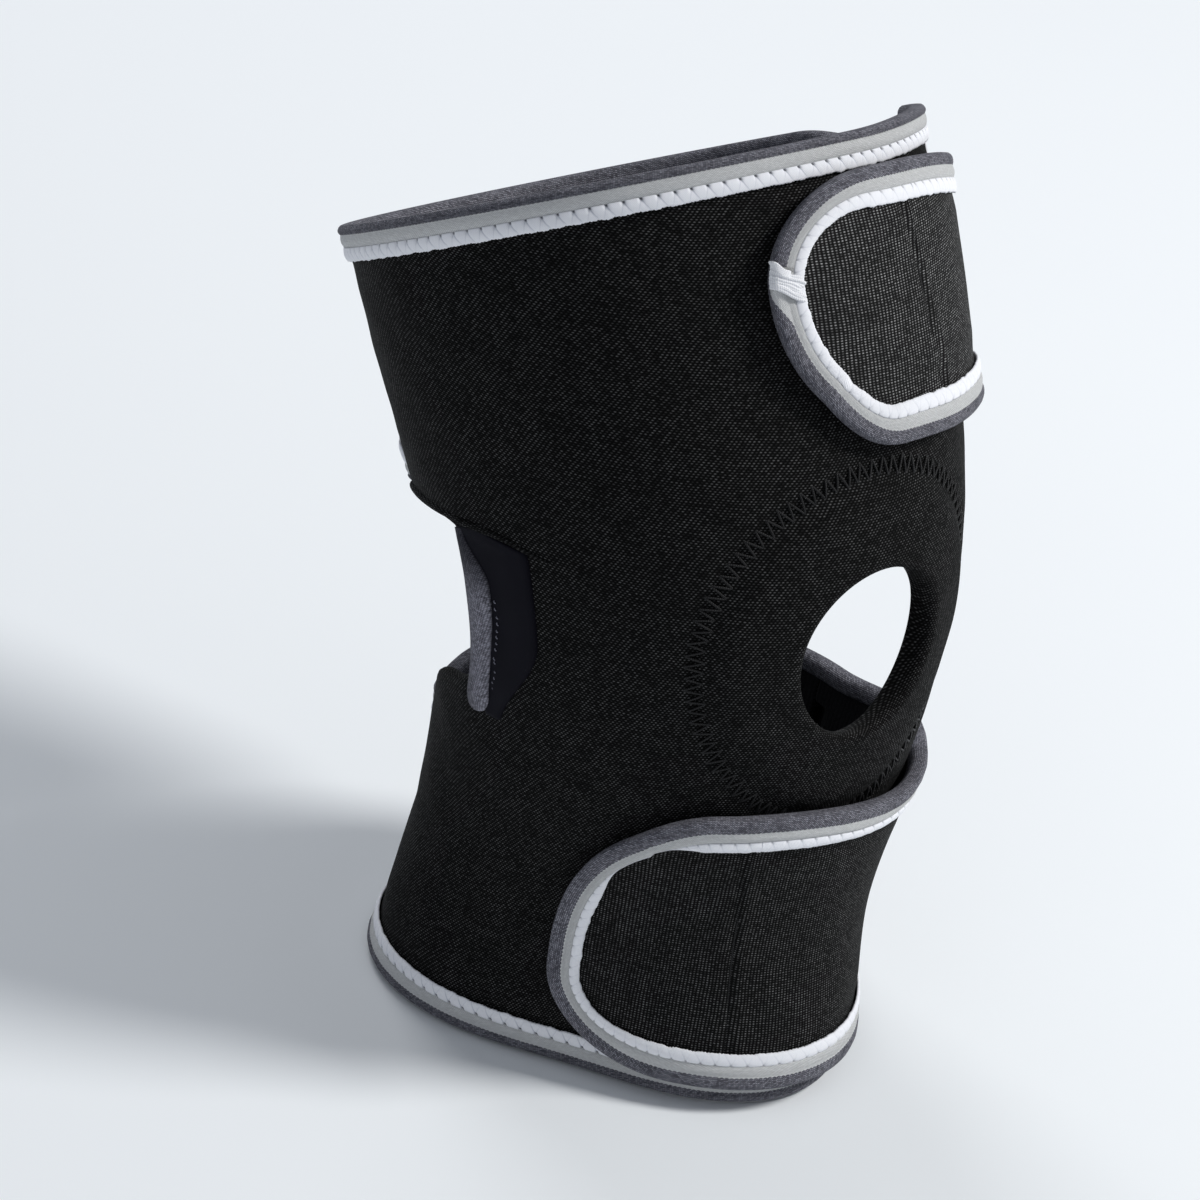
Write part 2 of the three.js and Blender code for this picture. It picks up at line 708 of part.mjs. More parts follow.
// White whipping over the join of the trim at the end of the upper tab
function addTrimJoin() {
  const path = tabPath(UPPER);
  const round = path.findIndex((at) => at.phi === UPPER.end);
  const ahead = path[round - 2];
  const behind = path[round - 1];
  const stops = [0.1, 0.5, 0.9].map((t) => (
    { ...ahead, phi: mix(ahead.phi, behind.phi, t), s: mix(ahead.s, behind.s, t) }));
  const whip = (at) => {
    const top = at.base + 2 * GAP + BINDING_CLOTH;
    const bottom = at.base - at.thick - 2 * GAP - BINDING_CLOTH;
    const out = -BINDING_WRAP - GAP;
    return [
      [BINDING_WIDTH + 2, top + 0.5], [out, top + 0.5], [out - 0.5, top - 0.6],
      [out - 0.5, bottom + 0.6], [out, bottom - 0.3], [BINDING_WIDTH, bottom - 0.3],
      [BINDING_WIDTH, bottom], [out, bottom], [out, top], [BINDING_WIDTH + 2, top],
    ];
  };
  addPiece('trim_join', sweepEdge(stops, -1, whip), COLOURS.stitching);
}

addPanels();
addPatellaPieces();
addOpening();
addPanelTrims();
addStrap('upper_strap', UPPER);
addStrap('lower_strap', LOWER);
addTab('upper_tab', UPPER);
addTab('lower_tab', LOWER);
addTrimJoin();

export default group;
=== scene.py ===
"""Wrap-around knee brace with an open patella: cloth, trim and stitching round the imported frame."""

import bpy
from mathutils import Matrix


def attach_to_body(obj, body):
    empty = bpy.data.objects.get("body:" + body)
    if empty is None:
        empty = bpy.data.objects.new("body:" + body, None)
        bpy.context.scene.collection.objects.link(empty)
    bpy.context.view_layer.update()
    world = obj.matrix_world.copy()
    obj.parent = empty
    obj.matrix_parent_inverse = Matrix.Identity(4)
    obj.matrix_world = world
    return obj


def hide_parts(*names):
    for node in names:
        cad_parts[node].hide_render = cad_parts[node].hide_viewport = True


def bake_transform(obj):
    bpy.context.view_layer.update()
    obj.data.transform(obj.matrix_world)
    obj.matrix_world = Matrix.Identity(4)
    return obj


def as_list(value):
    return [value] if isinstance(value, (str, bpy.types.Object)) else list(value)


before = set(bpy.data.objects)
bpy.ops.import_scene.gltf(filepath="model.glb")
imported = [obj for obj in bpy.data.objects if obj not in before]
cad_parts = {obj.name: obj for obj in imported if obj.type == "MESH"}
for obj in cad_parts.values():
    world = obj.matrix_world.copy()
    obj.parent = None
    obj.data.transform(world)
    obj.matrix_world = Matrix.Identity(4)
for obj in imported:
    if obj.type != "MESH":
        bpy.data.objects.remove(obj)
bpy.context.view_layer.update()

import copy
import math
from types import SimpleNamespace

import bpy
import numpy as np
from mathutils import Matrix, Vector

MM = 0.001
SAME_PLACE = 1e-7

# The limb form that the cloth lies on, in millimetres and degrees, as in the CAD
REST_FLEXION = 30
CALF_STRAIGHT = 80
KNEE_ARC = 88
LENGTH = 232
RIM_RISE = 2.4
STATION = np.array([0, 46, 97, 134, 184, 232], float)
RADIUS = np.array([63.7, 60.3, 66.3, 70.8, 75, 78])
FORWARD = np.array([-7.8, -6.2, -1.6, 2.2, 1.3, 0.4])
OVAL = np.array([3.3, -0.5, -2.8, -1.5, -0.3, 0.1])
RIDGE = np.array([6, 3.2, 0, 0, 0, 0], float)
ORIGIN = np.array([1.05, 26.44, -1.1])
NEOPRENE = 3.5
FAR_EDGE = -60

# Rounded radii of the limb: for the straps, for laying out the weave, and at the far edge
ABOUT_RADIUS = 72
WEAVE_RADIUS = 68
FAR_EDGE_RADIUS = 66

# Patella hole
HOLE_HEIGHT = 118
HOLE_RADIUS = 23.5
HOLE_ANGLE = -1.3
ZIGZAG_RADIUS = 50.3

# Wings and opening
CALF_TOP = 77
THIGH_LOW = 161
THIGH_LOW_BACK = 166
THIGH_WING_FROM = 124
CALF_WING_FROM = 130

# Straps with their tabs: angles past the back, so that 300 is the far edge of the panel
RAMP_END = 293
STRAP_LIFT = 2.1
STRAP_THICK = 3.2
UPPER = SimpleNamespace(
    hinge=230, ramp=258, seam=344, seam_lean=0.076, end=379.3, wing_top=232, top=222.5, waist_top=2.4,
    wing_bottom=166, bottom=158, waist_low=2.4, reach=31, corner_top=26, corner_bottom=37,
)
LOWER = SimpleNamespace(
    hinge=262, ramp=266, seam=383, seam_lean=0.05, end=429, wing_top=77, top=86.5, waist_top=6.5,
    wing_bottom=0, bottom=6.5, waist_low=0, reach=34, corner_top=49, corner_bottom=26,
)
WAIST_FROM = 305

# Edge trim: the tape's own dark and full width, and how far in from the edge the dark band,
# the light band and the overlock stitches reach where the tape lies on each part
DARK_TAPE = 3.3
TAPE_WIDTH = 7.5
RIM_BANDS = (1.5, 5.0, 8.6)
HEM_BANDS = (2.2, 5.4, 8.9)
UPPER_BANDS = (2.6, 5.9, 9.7)
LOWER_BANDS = (3.1, 6.2, 9.5)


def rad(degrees):
    return np.asarray(degrees, float) * math.pi / 180


def smooth(t):
    t = np.clip(t, 0, 1)
    return t * t * (3 - 2 * t)


def mix(a, b, t):
    return a + (b - a) * t


def bump(x, width):
    """1 at x = 0, falling to nothing over the width on both sides."""
    return np.exp(-((x / width) ** 2))


def paired(a, b):
    return np.stack(np.broadcast_arrays(a, b), -1)


def walked(points):
    """Distance travelled along a row of points."""
    return np.concatenate([[0], np.cumsum(np.linalg.norm(np.diff(points, axis=0), axis=1))])


def station_slopes(values):
    """Slope at each station for a smooth curve, weighted by the spans on both sides."""
    span = np.diff(STATION)
    rise = np.diff(values) / span
    middle = (rise[:-1] * span[1:] + rise[1:] * span[:-1]) / (span[:-1] + span[1:])
    return np.concatenate([rise[:1], middle, rise[-1:]])


def rim_height(phi):
    """The thigh rim stands a little higher towards the far edge."""
    return LENGTH + RIM_RISE * smooth((-phi - 8) / 40)


def section(values, s):
    i = np.clip(np.searchsorted(STATION, s) - 1, 0, len(STATION) - 2)
    slopes = station_slopes(values)
    span = STATION[i + 1] - STATION[i]
    u = (s - STATION[i]) / span
    rise = 3 * u**2 - 2 * u**3
    ends = slopes[i] * (u**3 - 2 * u**2 + u) + slopes[i + 1] * (u**3 - u**2)
    return values[i] * (1 - rise) + values[i + 1] * rise + span * ends


def girth(phi, s):
    """Distance from the limb's centre line to the outer face of the panel."""
    a = rad(phi)
    forward = section(FORWARD, s) * np.cos(a)
    oval = section(OVAL, s) * np.cos(2 * a)
    return section(RADIUS, s) + forward + oval + section(RIDGE, s) * np.cos(3 * a)


def tilt_at(s):
    return np.clip((s - CALF_STRAIGHT) / KNEE_ARC, 0, 1) * math.radians(REST_FLEXION)


def on_form(phi, s, n):
    """Points in metres: phi round the limb, s along it, n out from the panel's outer face."""
    phi, s, n = np.broadcast_arrays(*(np.asarray(v, float) for v in (phi, s, n)))
    bend = KNEE_ARC / math.radians(REST_FLEXION)
    tilt = tilt_at(s)
    beyond = np.maximum(s - CALF_STRAIGHT - KNEE_ARC, 0)
    reach = girth(phi, s) + n
    y = bend * (1 - np.cos(tilt)) + beyond * np.sin(tilt) - reach * np.cos(rad(phi)) * np.cos(tilt)
    z = np.minimum(s, CALF_STRAIGHT) + bend * np.sin(tilt) + beyond * np.cos(tilt)
    z = z + reach * np.cos(rad(phi)) * np.sin(tilt)
    return (np.stack([-reach * np.sin(rad(phi)), y, z], -1) - ORIGIN) * MM


def stretch(phi, s):
    """How much one millimetre of centre line stretches at the surface."""
    inside = (s >= CALF_STRAIGHT) & (s <= CALF_STRAIGHT + KNEE_ARC)
    more = girth(phi, s) * np.cos(rad(phi)) * math.radians(REST_FLEXION) / KNEE_ARC
    return 1 + np.where(inside, more, 0)


def shifted(phi, s, round_mm, along_mm):
    """Places moved over the surface by millimetres round and millimetres along."""
    return phi + np.degrees(round_mm / girth(phi, s)), s + along_mm / stretch(phi, s)


def cloth_uv(phi, s):
    """Millimetres across and along the cloth, for the weave."""
    around = rad(phi) * WEAVE_RADIUS
    along = s + tilt_at(s) * WEAVE_RADIUS * np.cos(rad(phi))
    return paired(around, along)


def waves(x, y, seed, count=6):
    """A gentle fixed unevenness between about -1 and 1, from sines of x and y."""
    rng = np.random.default_rng(seed)
    total = 0
    for _ in range(count):
        ax, ay = rng.normal(size=2)
        total = total + np.sin(ax * x + ay * y + rng.uniform(0, 2 * math.pi))
    return total / count


# ---------------------------------------------------------------- mesh building


def merged(points):
    """Joins points in the same place: where each first comes, and which of those each point is."""
    keys = np.round(points / SAME_PLACE).astype(np.int64)
    _, first, same = np.unique(keys, axis=0, return_index=True, return_inverse=True)
    return first, same.reshape(-1)


class Cloth:
    """Points, faces, cloth coordinates and material numbers of one piece."""

    def __init__(self):
        self.points, self.uvs, self.faces, self.kinds = [], [], [], []
        self.count = 0

    def add(self, points, uvs):
        points = np.asarray(points, float)
        shape = points.shape[:-1]
        self.points.append(points.reshape(-1, 3))
        self.uvs.append(np.broadcast_to(uvs, shape + (2,)).reshape(-1, 2))
        ids = np.arange(self.count, self.count + int(np.prod(shape))).reshape(shape)
        self.count += ids.size
        return ids

    def quads(self, ids, kind=0, flip=False, keep=None, wrap=False):
        """Faces over a grid of point numbers; keep masks cells, wrap joins the last row to the first."""
        if wrap:
            ids = np.concatenate([ids, ids[:1]])
        a, b, c, d = ids[:-1, :-1], ids[1:, :-1], ids[1:, 1:], ids[:-1, 1:]
        cells = np.stack([a, d, c, b] if flip else [a, b, c, d], -1)
        cells = cells[keep] if keep is not None else cells.reshape(-1, 4)
        self.faces.append(cells)
        self.kinds.append(np.full(len(cells), kind))
        return cells

    def hose(self, ids, flip=False, ends=True):
        """Faces round rows of points that are each a closed ring, and a cap on each end."""
        self.quads(np.concatenate([ids, ids[:, :1]], 1), flip=flip)
        if ends:
            turn = -1 if flip else 1
            self.cap(ids[0][::turn])
            self.cap(ids[-1][::-turn])

    def cap(self, ring):
        """Closes a ring of point numbers with triangles about its middle, just inside the ring."""
        points = np.concatenate(self.points)[ring]
        uvs = np.concatenate(self.uvs)[ring]
        middle = self.add(points.mean(0)[None], uvs.mean(0)[None])[0]
        ring = self.add(mix(points, points.mean(0), 0.002), uvs)
        hub = np.full(len(ring), middle)
        self.faces.append(np.stack([ring, np.roll(ring, -1), hub, hub], -1))
        self.kinds.append(0 * hub)

    def build(self, name, *materials):
        """Makes the object, with points in the same place joined into one."""
        points, uvs, faces, kinds = map(np.concatenate, (self.points, self.uvs, self.faces, self.kinds))
        first, same = merged(points)
        order = np.argsort(first)
        rank = np.argsort(order)
        faces = rank[same[faces]]
        points, uvs = points[first[order]], uvs[first[order]]
        kept, kept_kinds = [], []
        for face, kind in zip(faces.tolist(), kinds.tolist()):
            loop = [v for k, v in enumerate(face) if v != face[k - 1]]
            if len(set(loop)) == len(loop) and len(loop) > 2:
                kept.append(loop)
                kept_kinds.append(kind)
        mesh = bpy.data.meshes.new(name)
        mesh.from_pydata(points.tolist(), [], kept)
        mesh.polygons.foreach_set("material_index", kept_kinds)
        mesh.polygons.foreach_set("use_smooth", [True] * len(kept))
        layer = mesh.uv_layers.new(name="cloth")
        layer.data.foreach_set("uv", uvs[np.concatenate(kept)].astype(np.float32).reshape(-1))
        mesh.validate()
        mesh.update()
        for material in materials:
            mesh.materials.append(material)
        obj = bpy.data.objects.new(name, mesh)
        bpy.context.scene.collection.objects.link(obj)
        return obj


def unit(vectors):
    """Vectors of the same directions and length 1."""
    return vectors / np.maximum(np.linalg.norm(vectors, axis=-1, keepdims=True), 1e-12)


class Layered(Cloth):
    """A thick cloth of matching outer and inner faces, closed by a rounded edge."""

    # Steps round the edge, how far it stands out for its thickness, and how its weave runs on
    RIM_STEPS = 5
    RIM_REACH = 0.7
    RIM_TURN = 0.71

    def __init__(self):
        super().__init__()
        self.outer_cells = []
        self.pairs = []

    def patch(self, phi, s, outer, inner, keep=None):
        uvs = cloth_uv(phi, s)
        over = self.add(on_form(phi, s, outer), uvs)
        under = self.add(on_form(phi, s, inner), uvs)
        self.outer_cells.append(self.quads(over, 0, flip=True, keep=keep))
        self.quads(under, 1, keep=keep)
        self.pairs.append(np.stack([over.reshape(-1), under.reshape(-1)], -1))

    def close(self, skip=lambda ends: False):
        """Rounds off every free edge, apart from those whose end points skip() picks out."""
        points, uvs = np.concatenate(self.points), np.concatenate(self.uvs)
        same = merged(points)[1].tolist()
        cells = np.concatenate(self.outer_cells)
        sides = list(zip(cells.reshape(-1).tolist(), np.roll(cells, -1, axis=1).reshape(-1).tolist()))
        keyed = {(same[a], same[b]) for a, b in sides}
        partner = dict(np.concatenate(self.pairs).tolist())
        normals = {}
        edges = []
        for a, b in sides:
            ka, kb = same[a], same[b]
            if ka == kb or (kb, ka) in keyed or skip(points[[a, b]]):
                continue
            edges.append((a, b))
            outward = np.cross(points[b] - points[a], points[a] - points[partner[a]])
            outward /= max(np.linalg.norm(outward), 1e-12)
            for key in (ka, kb):
                normals[key] = normals.get(key, 0) + outward
        steps = np.pi * np.arange(1, self.RIM_STEPS) / self.RIM_STEPS
        for a, b in edges:
            strips = []
            for v in (a, b):
                out = normals[same[v]]
                out = out / max(np.linalg.norm(out), 1e-12)
                centre = (points[v] + points[partner[v]]) / 2
                arm = points[v] - centre
                bow = out * np.linalg.norm(arm) * self.RIM_REACH
                turned = [centre + arm * math.cos(t) + bow * math.sin(t) for t in steps]
                strips.append([points[v], *turned, points[partner[v]]])
            strips = np.array(strips)
            span = np.linalg.norm(np.diff(strips, axis=1), axis=-1) / MM
            round_edge = np.concatenate([np.zeros((2, 1)), np.cumsum(span, axis=1)], 1)
            ids = self.add(strips, uvs[[a, b]][:, None, :] + round_edge[..., None] * self.RIM_TURN)
            self.quads(ids, 0, flip=True)


def closed_sheet(reach, phi, s, outer, inner):
    """One layered patch with all its edges rounded off, standing out by a share of their thickness."""
    cloth = Layered()
    cloth.RIM_REACH = reach
    cloth.patch(phi, s, outer, inner)
    cloth.close()
    return cloth


# ---------------------------------------------------------------- materials


class Value:
    """A number or colour that varies over a material; arithmetic on it adds nodes."""

    def __init__(self, shade, socket):
        self.shade = shade
        self.socket = socket

    def operation(kind):
        return lambda self, *others: self.shade.math(kind, self, *others)

    __add__ = operation("ADD")
    __sub__ = operation("SUBTRACT")
    __mul__ = operation("MULTIPLY")
    __truediv__ = operation("DIVIDE")
    __mod__ = operation("FLOORED_MODULO")
    __pow__ = operation("POWER")
    fract = operation("FRACT")
    floor = operation("FLOOR")
    size = operation("ABSOLUTE")
    most = operation("MAXIMUM")

    def __rsub__(self, other):
        return self.shade.math("SUBTRACT", other, self)

    def hill(self):
        """1 at the middle of each unit and 0 at its ends."""
        off = (self.fract() - 0.5) * 2
        return 1 - off * off

    def step(self, low, high):
        node = self.shade.node("ShaderNodeMapRange", Value=self, From_Min=low, From_Max=high)
        node.interpolation_type = "SMOOTHSTEP"
        return Value(self.shade, node.outputs["Result"])


class Shade:
    """A node material, worked out from cloth coordinates."""

    def __init__(self, name, roughness=0.85, specular=0.3, sheen=0.0, sheen_roughness=0.5):
        self.material = bpy.data.materials.new(name)
        self.material.use_nodes = True
        self.tree = self.material.node_tree
        self.shader = self.tree.nodes["Principled BSDF"]
        self.shader.inputs["Roughness"].default_value = roughness
        self.shader.inputs["Specular IOR Level"].default_value = specular
        self.shader.inputs["Sheen Weight"].default_value = sheen
        self.shader.inputs["Sheen Roughness"].default_value = sheen_roughness

    def node(self, kind, **inputs):
        node = self.tree.nodes.new(kind)
        for key, value in inputs.items():
            self.link(node.inputs[key.replace("_", " ")], value)
        return node

    def link(self, socket, value):
        if isinstance(value, Value):
            self.tree.links.new(value.socket, socket)
        else:
            socket.default_value = value

    def math(self, operation, *values):
        node = self.node("ShaderNodeMath")
        node.operation = operation
        for socket, value in zip(node.inputs, values):
            self.link(socket, value)
        return Value(self, node.outputs[0])

    def uv(self):
        """Cloth coordinates, in millimetres across and along unless the piece says otherwise."""
        node = self.node("ShaderNodeUVMap")
        node.uv_map = "cloth"
        parts = self.node("ShaderNodeSeparateXYZ", Vector=Value(self, node.outputs[0]))
        return Value(self, parts.outputs[0]), Value(self, parts.outputs[1])

    def pair(self, x, y):
        return Value(self, self.node("ShaderNodeCombineXYZ", X=x, Y=y).outputs[0])

    def noise(self, x, y, scale, detail=3.0):
        node = self.node("ShaderNodeTexNoise", Vector=self.pair(x, y), Scale=scale, Detail=detail)
        return Value(self, node.outputs["Fac"])

    def chance(self, x, y):
        """A fixed random number for each whole x and y."""
        node = self.node("ShaderNodeTexWhiteNoise")
        node.noise_dimensions = "2D"
        self.link(node.inputs["Vector"], self.pair(x.floor(), y.floor()))
        return Value(self, node.outputs["Value"])

    def colour(self, amount, dark, light):
        node = self.node("ShaderNodeMix")
        node.data_type = "RGBA"
        self.link(node.inputs[0], amount)
        for socket, value in ((node.inputs[6], dark), (node.inputs[7], light)):
            self.link(socket, value if isinstance(value, Value) else (*value, 1))
        return Value(self, node.outputs[2])

    def finish(self, colour, height=None, distance=0.1):
        self.link(self.shader.inputs["Base Color"], colour)
        if height is not None:
            bump = self.node("ShaderNodeBump", Height=height, Distance=distance * MM, Strength=1.0)
            self.link(self.shader.inputs["Normal"], Value(self, bump.outputs[0]))
        return self.material


def knit(name, wale, course, stagger, ground, glint_colour, evenness, slant=0.25):
    """A knitted face: columns of loops whose crowns carry painted highlights, on a nearly black ground."""
    shade = Shade(name, roughness=0.65, specular=0.02, sheen=0.004, sheen_roughness=0.3)
    u, v = shade.uv()
    drift = (shade.noise(u, v, 0.06) - 0.5) * 1.2
    rows = (v + drift) / course
    odd = rows.floor() % 2.0
    lean = (rows.fract() - 0.5) * slant
    columns = (u + drift) / wale + odd * stagger + lean
    loop = columns.hill() * rows.hill()
    luck = shade.chance(columns, rows) * (1 - evenness) + evenness
    patchy = shade.noise(u, v, 0.11, 4.0) * 0.9 + 0.3
    # Painted highlights on the loop crowns, in the bright colour over the dark ground.
    painted_glint = loop**4.5 * luck * patchy
    fuzz = shade.noise(u, v, 2.2, 2.0)
    colour = shade.colour(fuzz * 0.03 + painted_glint * 0.95, (ground,) * 3, (glint_colour,) * 3)
    return shade.finish(colour, loop + fuzz * 0.3, 0.12)


def lining():
    """Brushed inner face of the neoprene: fine loops with no clear rows."""
    shade = Shade("lining_loops", roughness=0.95, specular=0.08, sheen=0.04)
    u, v = shade.uv()
    tone = shade.noise(u, v, 1.4, 5.0) * ((u / 1.6).hill() * 0.4 + 0.6)
    return shade.finish(shade.colour(tone, (0.004, 0.004, 0.005), (0.03, 0.03, 0.033)), tone, 0.3)


def two_tone_tape():
    """Woven tape, u along it and v in from the edge: dark heather twill, then light grey."""
    shade = Shade("edge_tape_weave", roughness=0.8, specular=0.12, sheen=0.03)
    u, v = shade.uv()
    jag = (u / 1.25).hill() * 0.3
    light = (v - jag).step(DARK_TAPE - 0.42, DARK_TAPE - 0.2)
    twill = (u + v * 1.1) / 0.62
    rows = v / 0.5
    dash = twill.hill() * rows.hill()
    luck = shade.chance(twill, rows)
    # Uneven wear of the heather itself; no shade is painted here.
    wear_and_shade = shade.noise(u, v, 0.12) * 0.9 + 0.45
    heather = dash * (luck * 0.85 + 0.25) * wear_and_shade
    dark = shade.colour(heather, (0.035, 0.035, 0.046), (0.44, 0.44, 0.5))
    speck = ((u - v * 1.3) / 0.8).hill() * (rows.hill() * 0.6 + 0.4)
    pale = shade.colour(speck**0.5 * 0.75 + luck * 0.25, (0.4, 0.405, 0.41), (0.8, 0.81, 0.81))
    return shade.finish(shade.colour(light, dark, pale), dash + speck + luck * 0.3, 0.12)


def overlock(name, gap, pit):
    """White stitching; u counts stitches and v runs from the needle line at 0 to the inner edge at 1."""
    shade = Shade(name, roughness=0.75, specular=0.12, sheen=0.04)
    u, v = shade.uv()

    def near(lean, power, width):
        """1 on the line that leaves each needle hole with this lean, fading to 0 at the width."""
        return ((u + v**power * lean).fract() - 0.5).size().step(0.5 - width, 0.5)

    # Painted shade in the creases between the loops, fading towards the inner edge; gap sets how dark it
    # is.
    fade = 1 - v * 0.8
    crease = (near(-0.5, 1.2, 0.09) * fade).most(near(0.25, 1.5, 0.06) * fade * 0.5)
    hole = near(-0.5, 1.2, 0.15) * v.step(0.26, 0.1)
    fan = ((u - v * 0.5) * 10).hill()
    relief = shade.noise(u * 9, v * 1.4, 1.6) * 0.6 + fan * 0.5
    thread = shade.colour(relief, (0.8, 0.82, 0.9), (0.96, 0.965, 0.985))
    # The bluish grey is painted shade laid into the creases.
    thread = shade.colour(crease * gap, thread, (0.22, 0.25, 0.36))
    thread = shade.colour(hole * pit, thread, (0.006, 0.007, 0.016))
    return shade.finish(thread, relief, 0.12)


def rolled_knit():
    """Grey brushed knit of the rolled strip at the opening, with painted shade towards its head, under the
    wing's curl, and on its near side, away from the light.
    """
    shade = Shade("rolled_edge_knit", roughness=0.85, specular=0.12, sheen=0.06)
    u, v = shade.uv()
    columns = (u + v * 0.35) / 0.62
    rows = v / 0.5
    loop = columns.hill() * rows.hill()
    fuzz = shade.noise(u, v, 1.1, 4.0)
    tone = (loop * 0.6 + shade.chance(columns, rows) * 0.4) * (fuzz + 0.35)
    # Painted shadow of the wing's curl over the head of the strip.
    wear_and_shade = v.step(144, 128) * 0.8 + 0.2
    # Painted light on the side of the roll that faces the lamp; the near side is painted darker.
    painted_lit_side = u.step(118, 108) * 0.65 + 0.35
    colour = shade.colour(tone * (wear_and_shade * painted_lit_side), (0.01, 0.01, 0.015), (0.46, 0.455, 0.53))
    return shade.finish(colour, loop, 0.14)


def facing_cloth():
    """Smooth close navy-black facing beside the opening."""
    shade = Shade("smooth_facing", roughness=0.6, specular=0.06, sheen=0.01)
    u, v = shade.uv()
    weave = (u / 0.3).hill() * (v / 0.3).hill()
    tone = weave * 0.35 + shade.noise(u, v, 0.1, 4.0) * 0.5
    return shade.finish(shade.colour(tone, (0.0025, 0.0025, 0.0045), (0.008, 0.0075, 0.014)), weave, 0.03)


def twisted_thread(name, dark, light):
    """Sewing thread, u along it and v round it."""
    shade = Shade(name, roughness=0.5, specular=0.2, sheen=0.02)
    u, v = shade.uv()
    twist = (u / 0.6 + v).hill()
    tone = twist * 0.6 + shade.noise(u, v, 5.0, 2.0) * 0.4
    return shade.finish(shade.colour(tone, dark, light), twist, 0.08)


def hook_backing():
    """Moulded tape that the hooks stand on."""
    shade = Shade("hook_tape", roughness=0.5, specular=0.2)
    u, v = shade.uv()
    ribs = (u / 0.8).hill()
    tone = ribs * 0.5 + shade.noise(u, v, 0.6, 5.0) * 0.5
    return shade.finish(shade.colour(tone, (0.008, 0.008, 0.009), (0.03, 0.03, 0.032)), ribs, 0.1)


def floor_paint():
    shade = Shade("pale_floor", roughness=0.9, specular=0.1)
    place = Value(shade, shade.node("ShaderNodeTexCoord").outputs["Object"])
    grain = Value(shade, shade.node("ShaderNodeTexNoise", Vector=place, Scale=3.0).outputs["Fac"])
    return shade.finish(shade.colour(grain, (0.88, 0.91, 0.94), (0.9, 0.93, 0.95)))


BODY_KNIT = knit("body_knit", 1.08, 0.66, 0.5, 0.0014, 0.17, 0.1)
# The two strap knits are one cloth: their loop colours differ as painted light, brighter on the upper
# strap, which faces the key lamp, than on the lower.
UPPER_KNIT = knit("upper_strap_knit", 1.03, 0.69, 0.0, 0.0014, 0.54, 0.2, slant=0.0)
LOWER_KNIT = knit("lower_strap_knit", 1.03, 0.69, 0.0, 0.0012, 0.26, 0.15, slant=0.0)
LINING = lining()
TAPE = two_tone_tape()
OPEN_OVERLOCK = overlock("overlock_thread", 0.6, 0.85)
CLOSE_OVERLOCK = overlock("close_overlock_thread", 0.25, 0.3)
ROLLED = rolled_knit()
FACING = facing_cloth()
BLACK_THREAD = twisted_thread("black_thread", (0.0015, 0.0015, 0.0015), (0.016, 0.016, 0.017))
PALE_THREAD = twisted_thread("pale_thread", (0.08, 0.08, 0.11), (0.3, 0.3, 0.36))
WHITE_THREAD = twisted_thread("white_thread", (0.72, 0.74, 0.8), (0.97, 0.97, 0.98))
HOOKS = hook_backing()


# ---------------------------------------------------------------- how pieces are finished and ride


def finish_piece(cloth, name, materials, slot, attach, *stands_for):
    """Builds a piece in place of the CAD pieces it stands for, hides those, and hands the piece to attach.
    """
    obj = cloth.build(name, *materials)
    if stands_for:
        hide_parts(*stands_for)
    attach(obj)
    return obj


def riding(body):
    """For a piece that moves rigidly with one body."""
    return lambda obj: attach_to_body(obj, body)


KNEE_HEIGHT = 126.134
KNEE_PIN = Vector((-ORIGIN[0], -ORIGIN[1], KNEE_HEIGHT)) * MM


def bend_with_knee(obj):
    """Bakes a piece's placement into its points."""
    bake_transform(obj)


def bend_at(obj, inner_body, strap, phi, offset):
    """Bakes a piece's placement into its points; the place at the angle phi on a strap is worked out but
    not used.
    """
    s = (strap.top + strap.bottom) / 2
    start = Vector(on_form(phi, s, offset))
    ahead = Vector(on_form(phi + 3, s, offset))
    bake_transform(obj)


# ---------------------------------------------------------------- front panel and wings

# The limb's radius and stretch at the patella ring, and where the cloth starts to turn into the hole
RING_GIRTH = float(girth(0, HOLE_HEIGHT))
RING_STRETCH = float(stretch(0, HOLE_HEIGHT))
HOLE_LIP = HOLE_RADIUS + 2.5

# Angle where the front's even grid ends, and the outline of the opening behind it
NEAR_COLUMN = 72
OPENING_CORNERS = [
    (CALF_WING_FROM, CALF_TOP), (128.5, 80), (118, 99.5), (101, 103.5),
    (96.5, 110), (96, 149), (97, 153), (THIGH_WING_FROM, THIGH_LOW),
]


def thigh_low(phi):
    return mix(THIGH_LOW, THIGH_LOW_BACK, smooth((phi - THIGH_WING_FROM) / 30))


def rounded(corners, rounds=3):
    """Cuts the corners of an open outline until it is a smooth curve."""
    points = np.array(corners, float)
    for _ in range(rounds):
        near = points[:-1] * 0.75 + points[1:] * 0.25
        far = points[:-1] * 0.25 + points[1:] * 0.75
        inner = np.stack([near, far], 1).reshape(-1, 2)
        points = np.concatenate([points[:1], inner, points[-1:]])
    return points


def resampled(phi, s, count=None, step=1.0):
    """A path at even lengths: how far along each place is, and its phi and s."""
    travelled = walked(on_form(phi, s, 0) / MM)
    count = count or max(int(round(travelled[-1] / step)), 4)
    at = np.linspace(0, travelled[-1], count + 1)
    return at, np.interp(at, travelled, phi), np.interp(at, travelled, s)


def from_ring(phi, s, centre=0):
    """Millimetres across and up from the middle of the patella ring, or of the hole."""
    return rad(phi - centre) * RING_GIRTH, (s - HOLE_HEIGHT) * RING_STRETCH


def to_form(x, y, centre=0):
    return centre + np.degrees(x / RING_GIRTH), HOLE_HEIGHT + y / RING_STRETCH


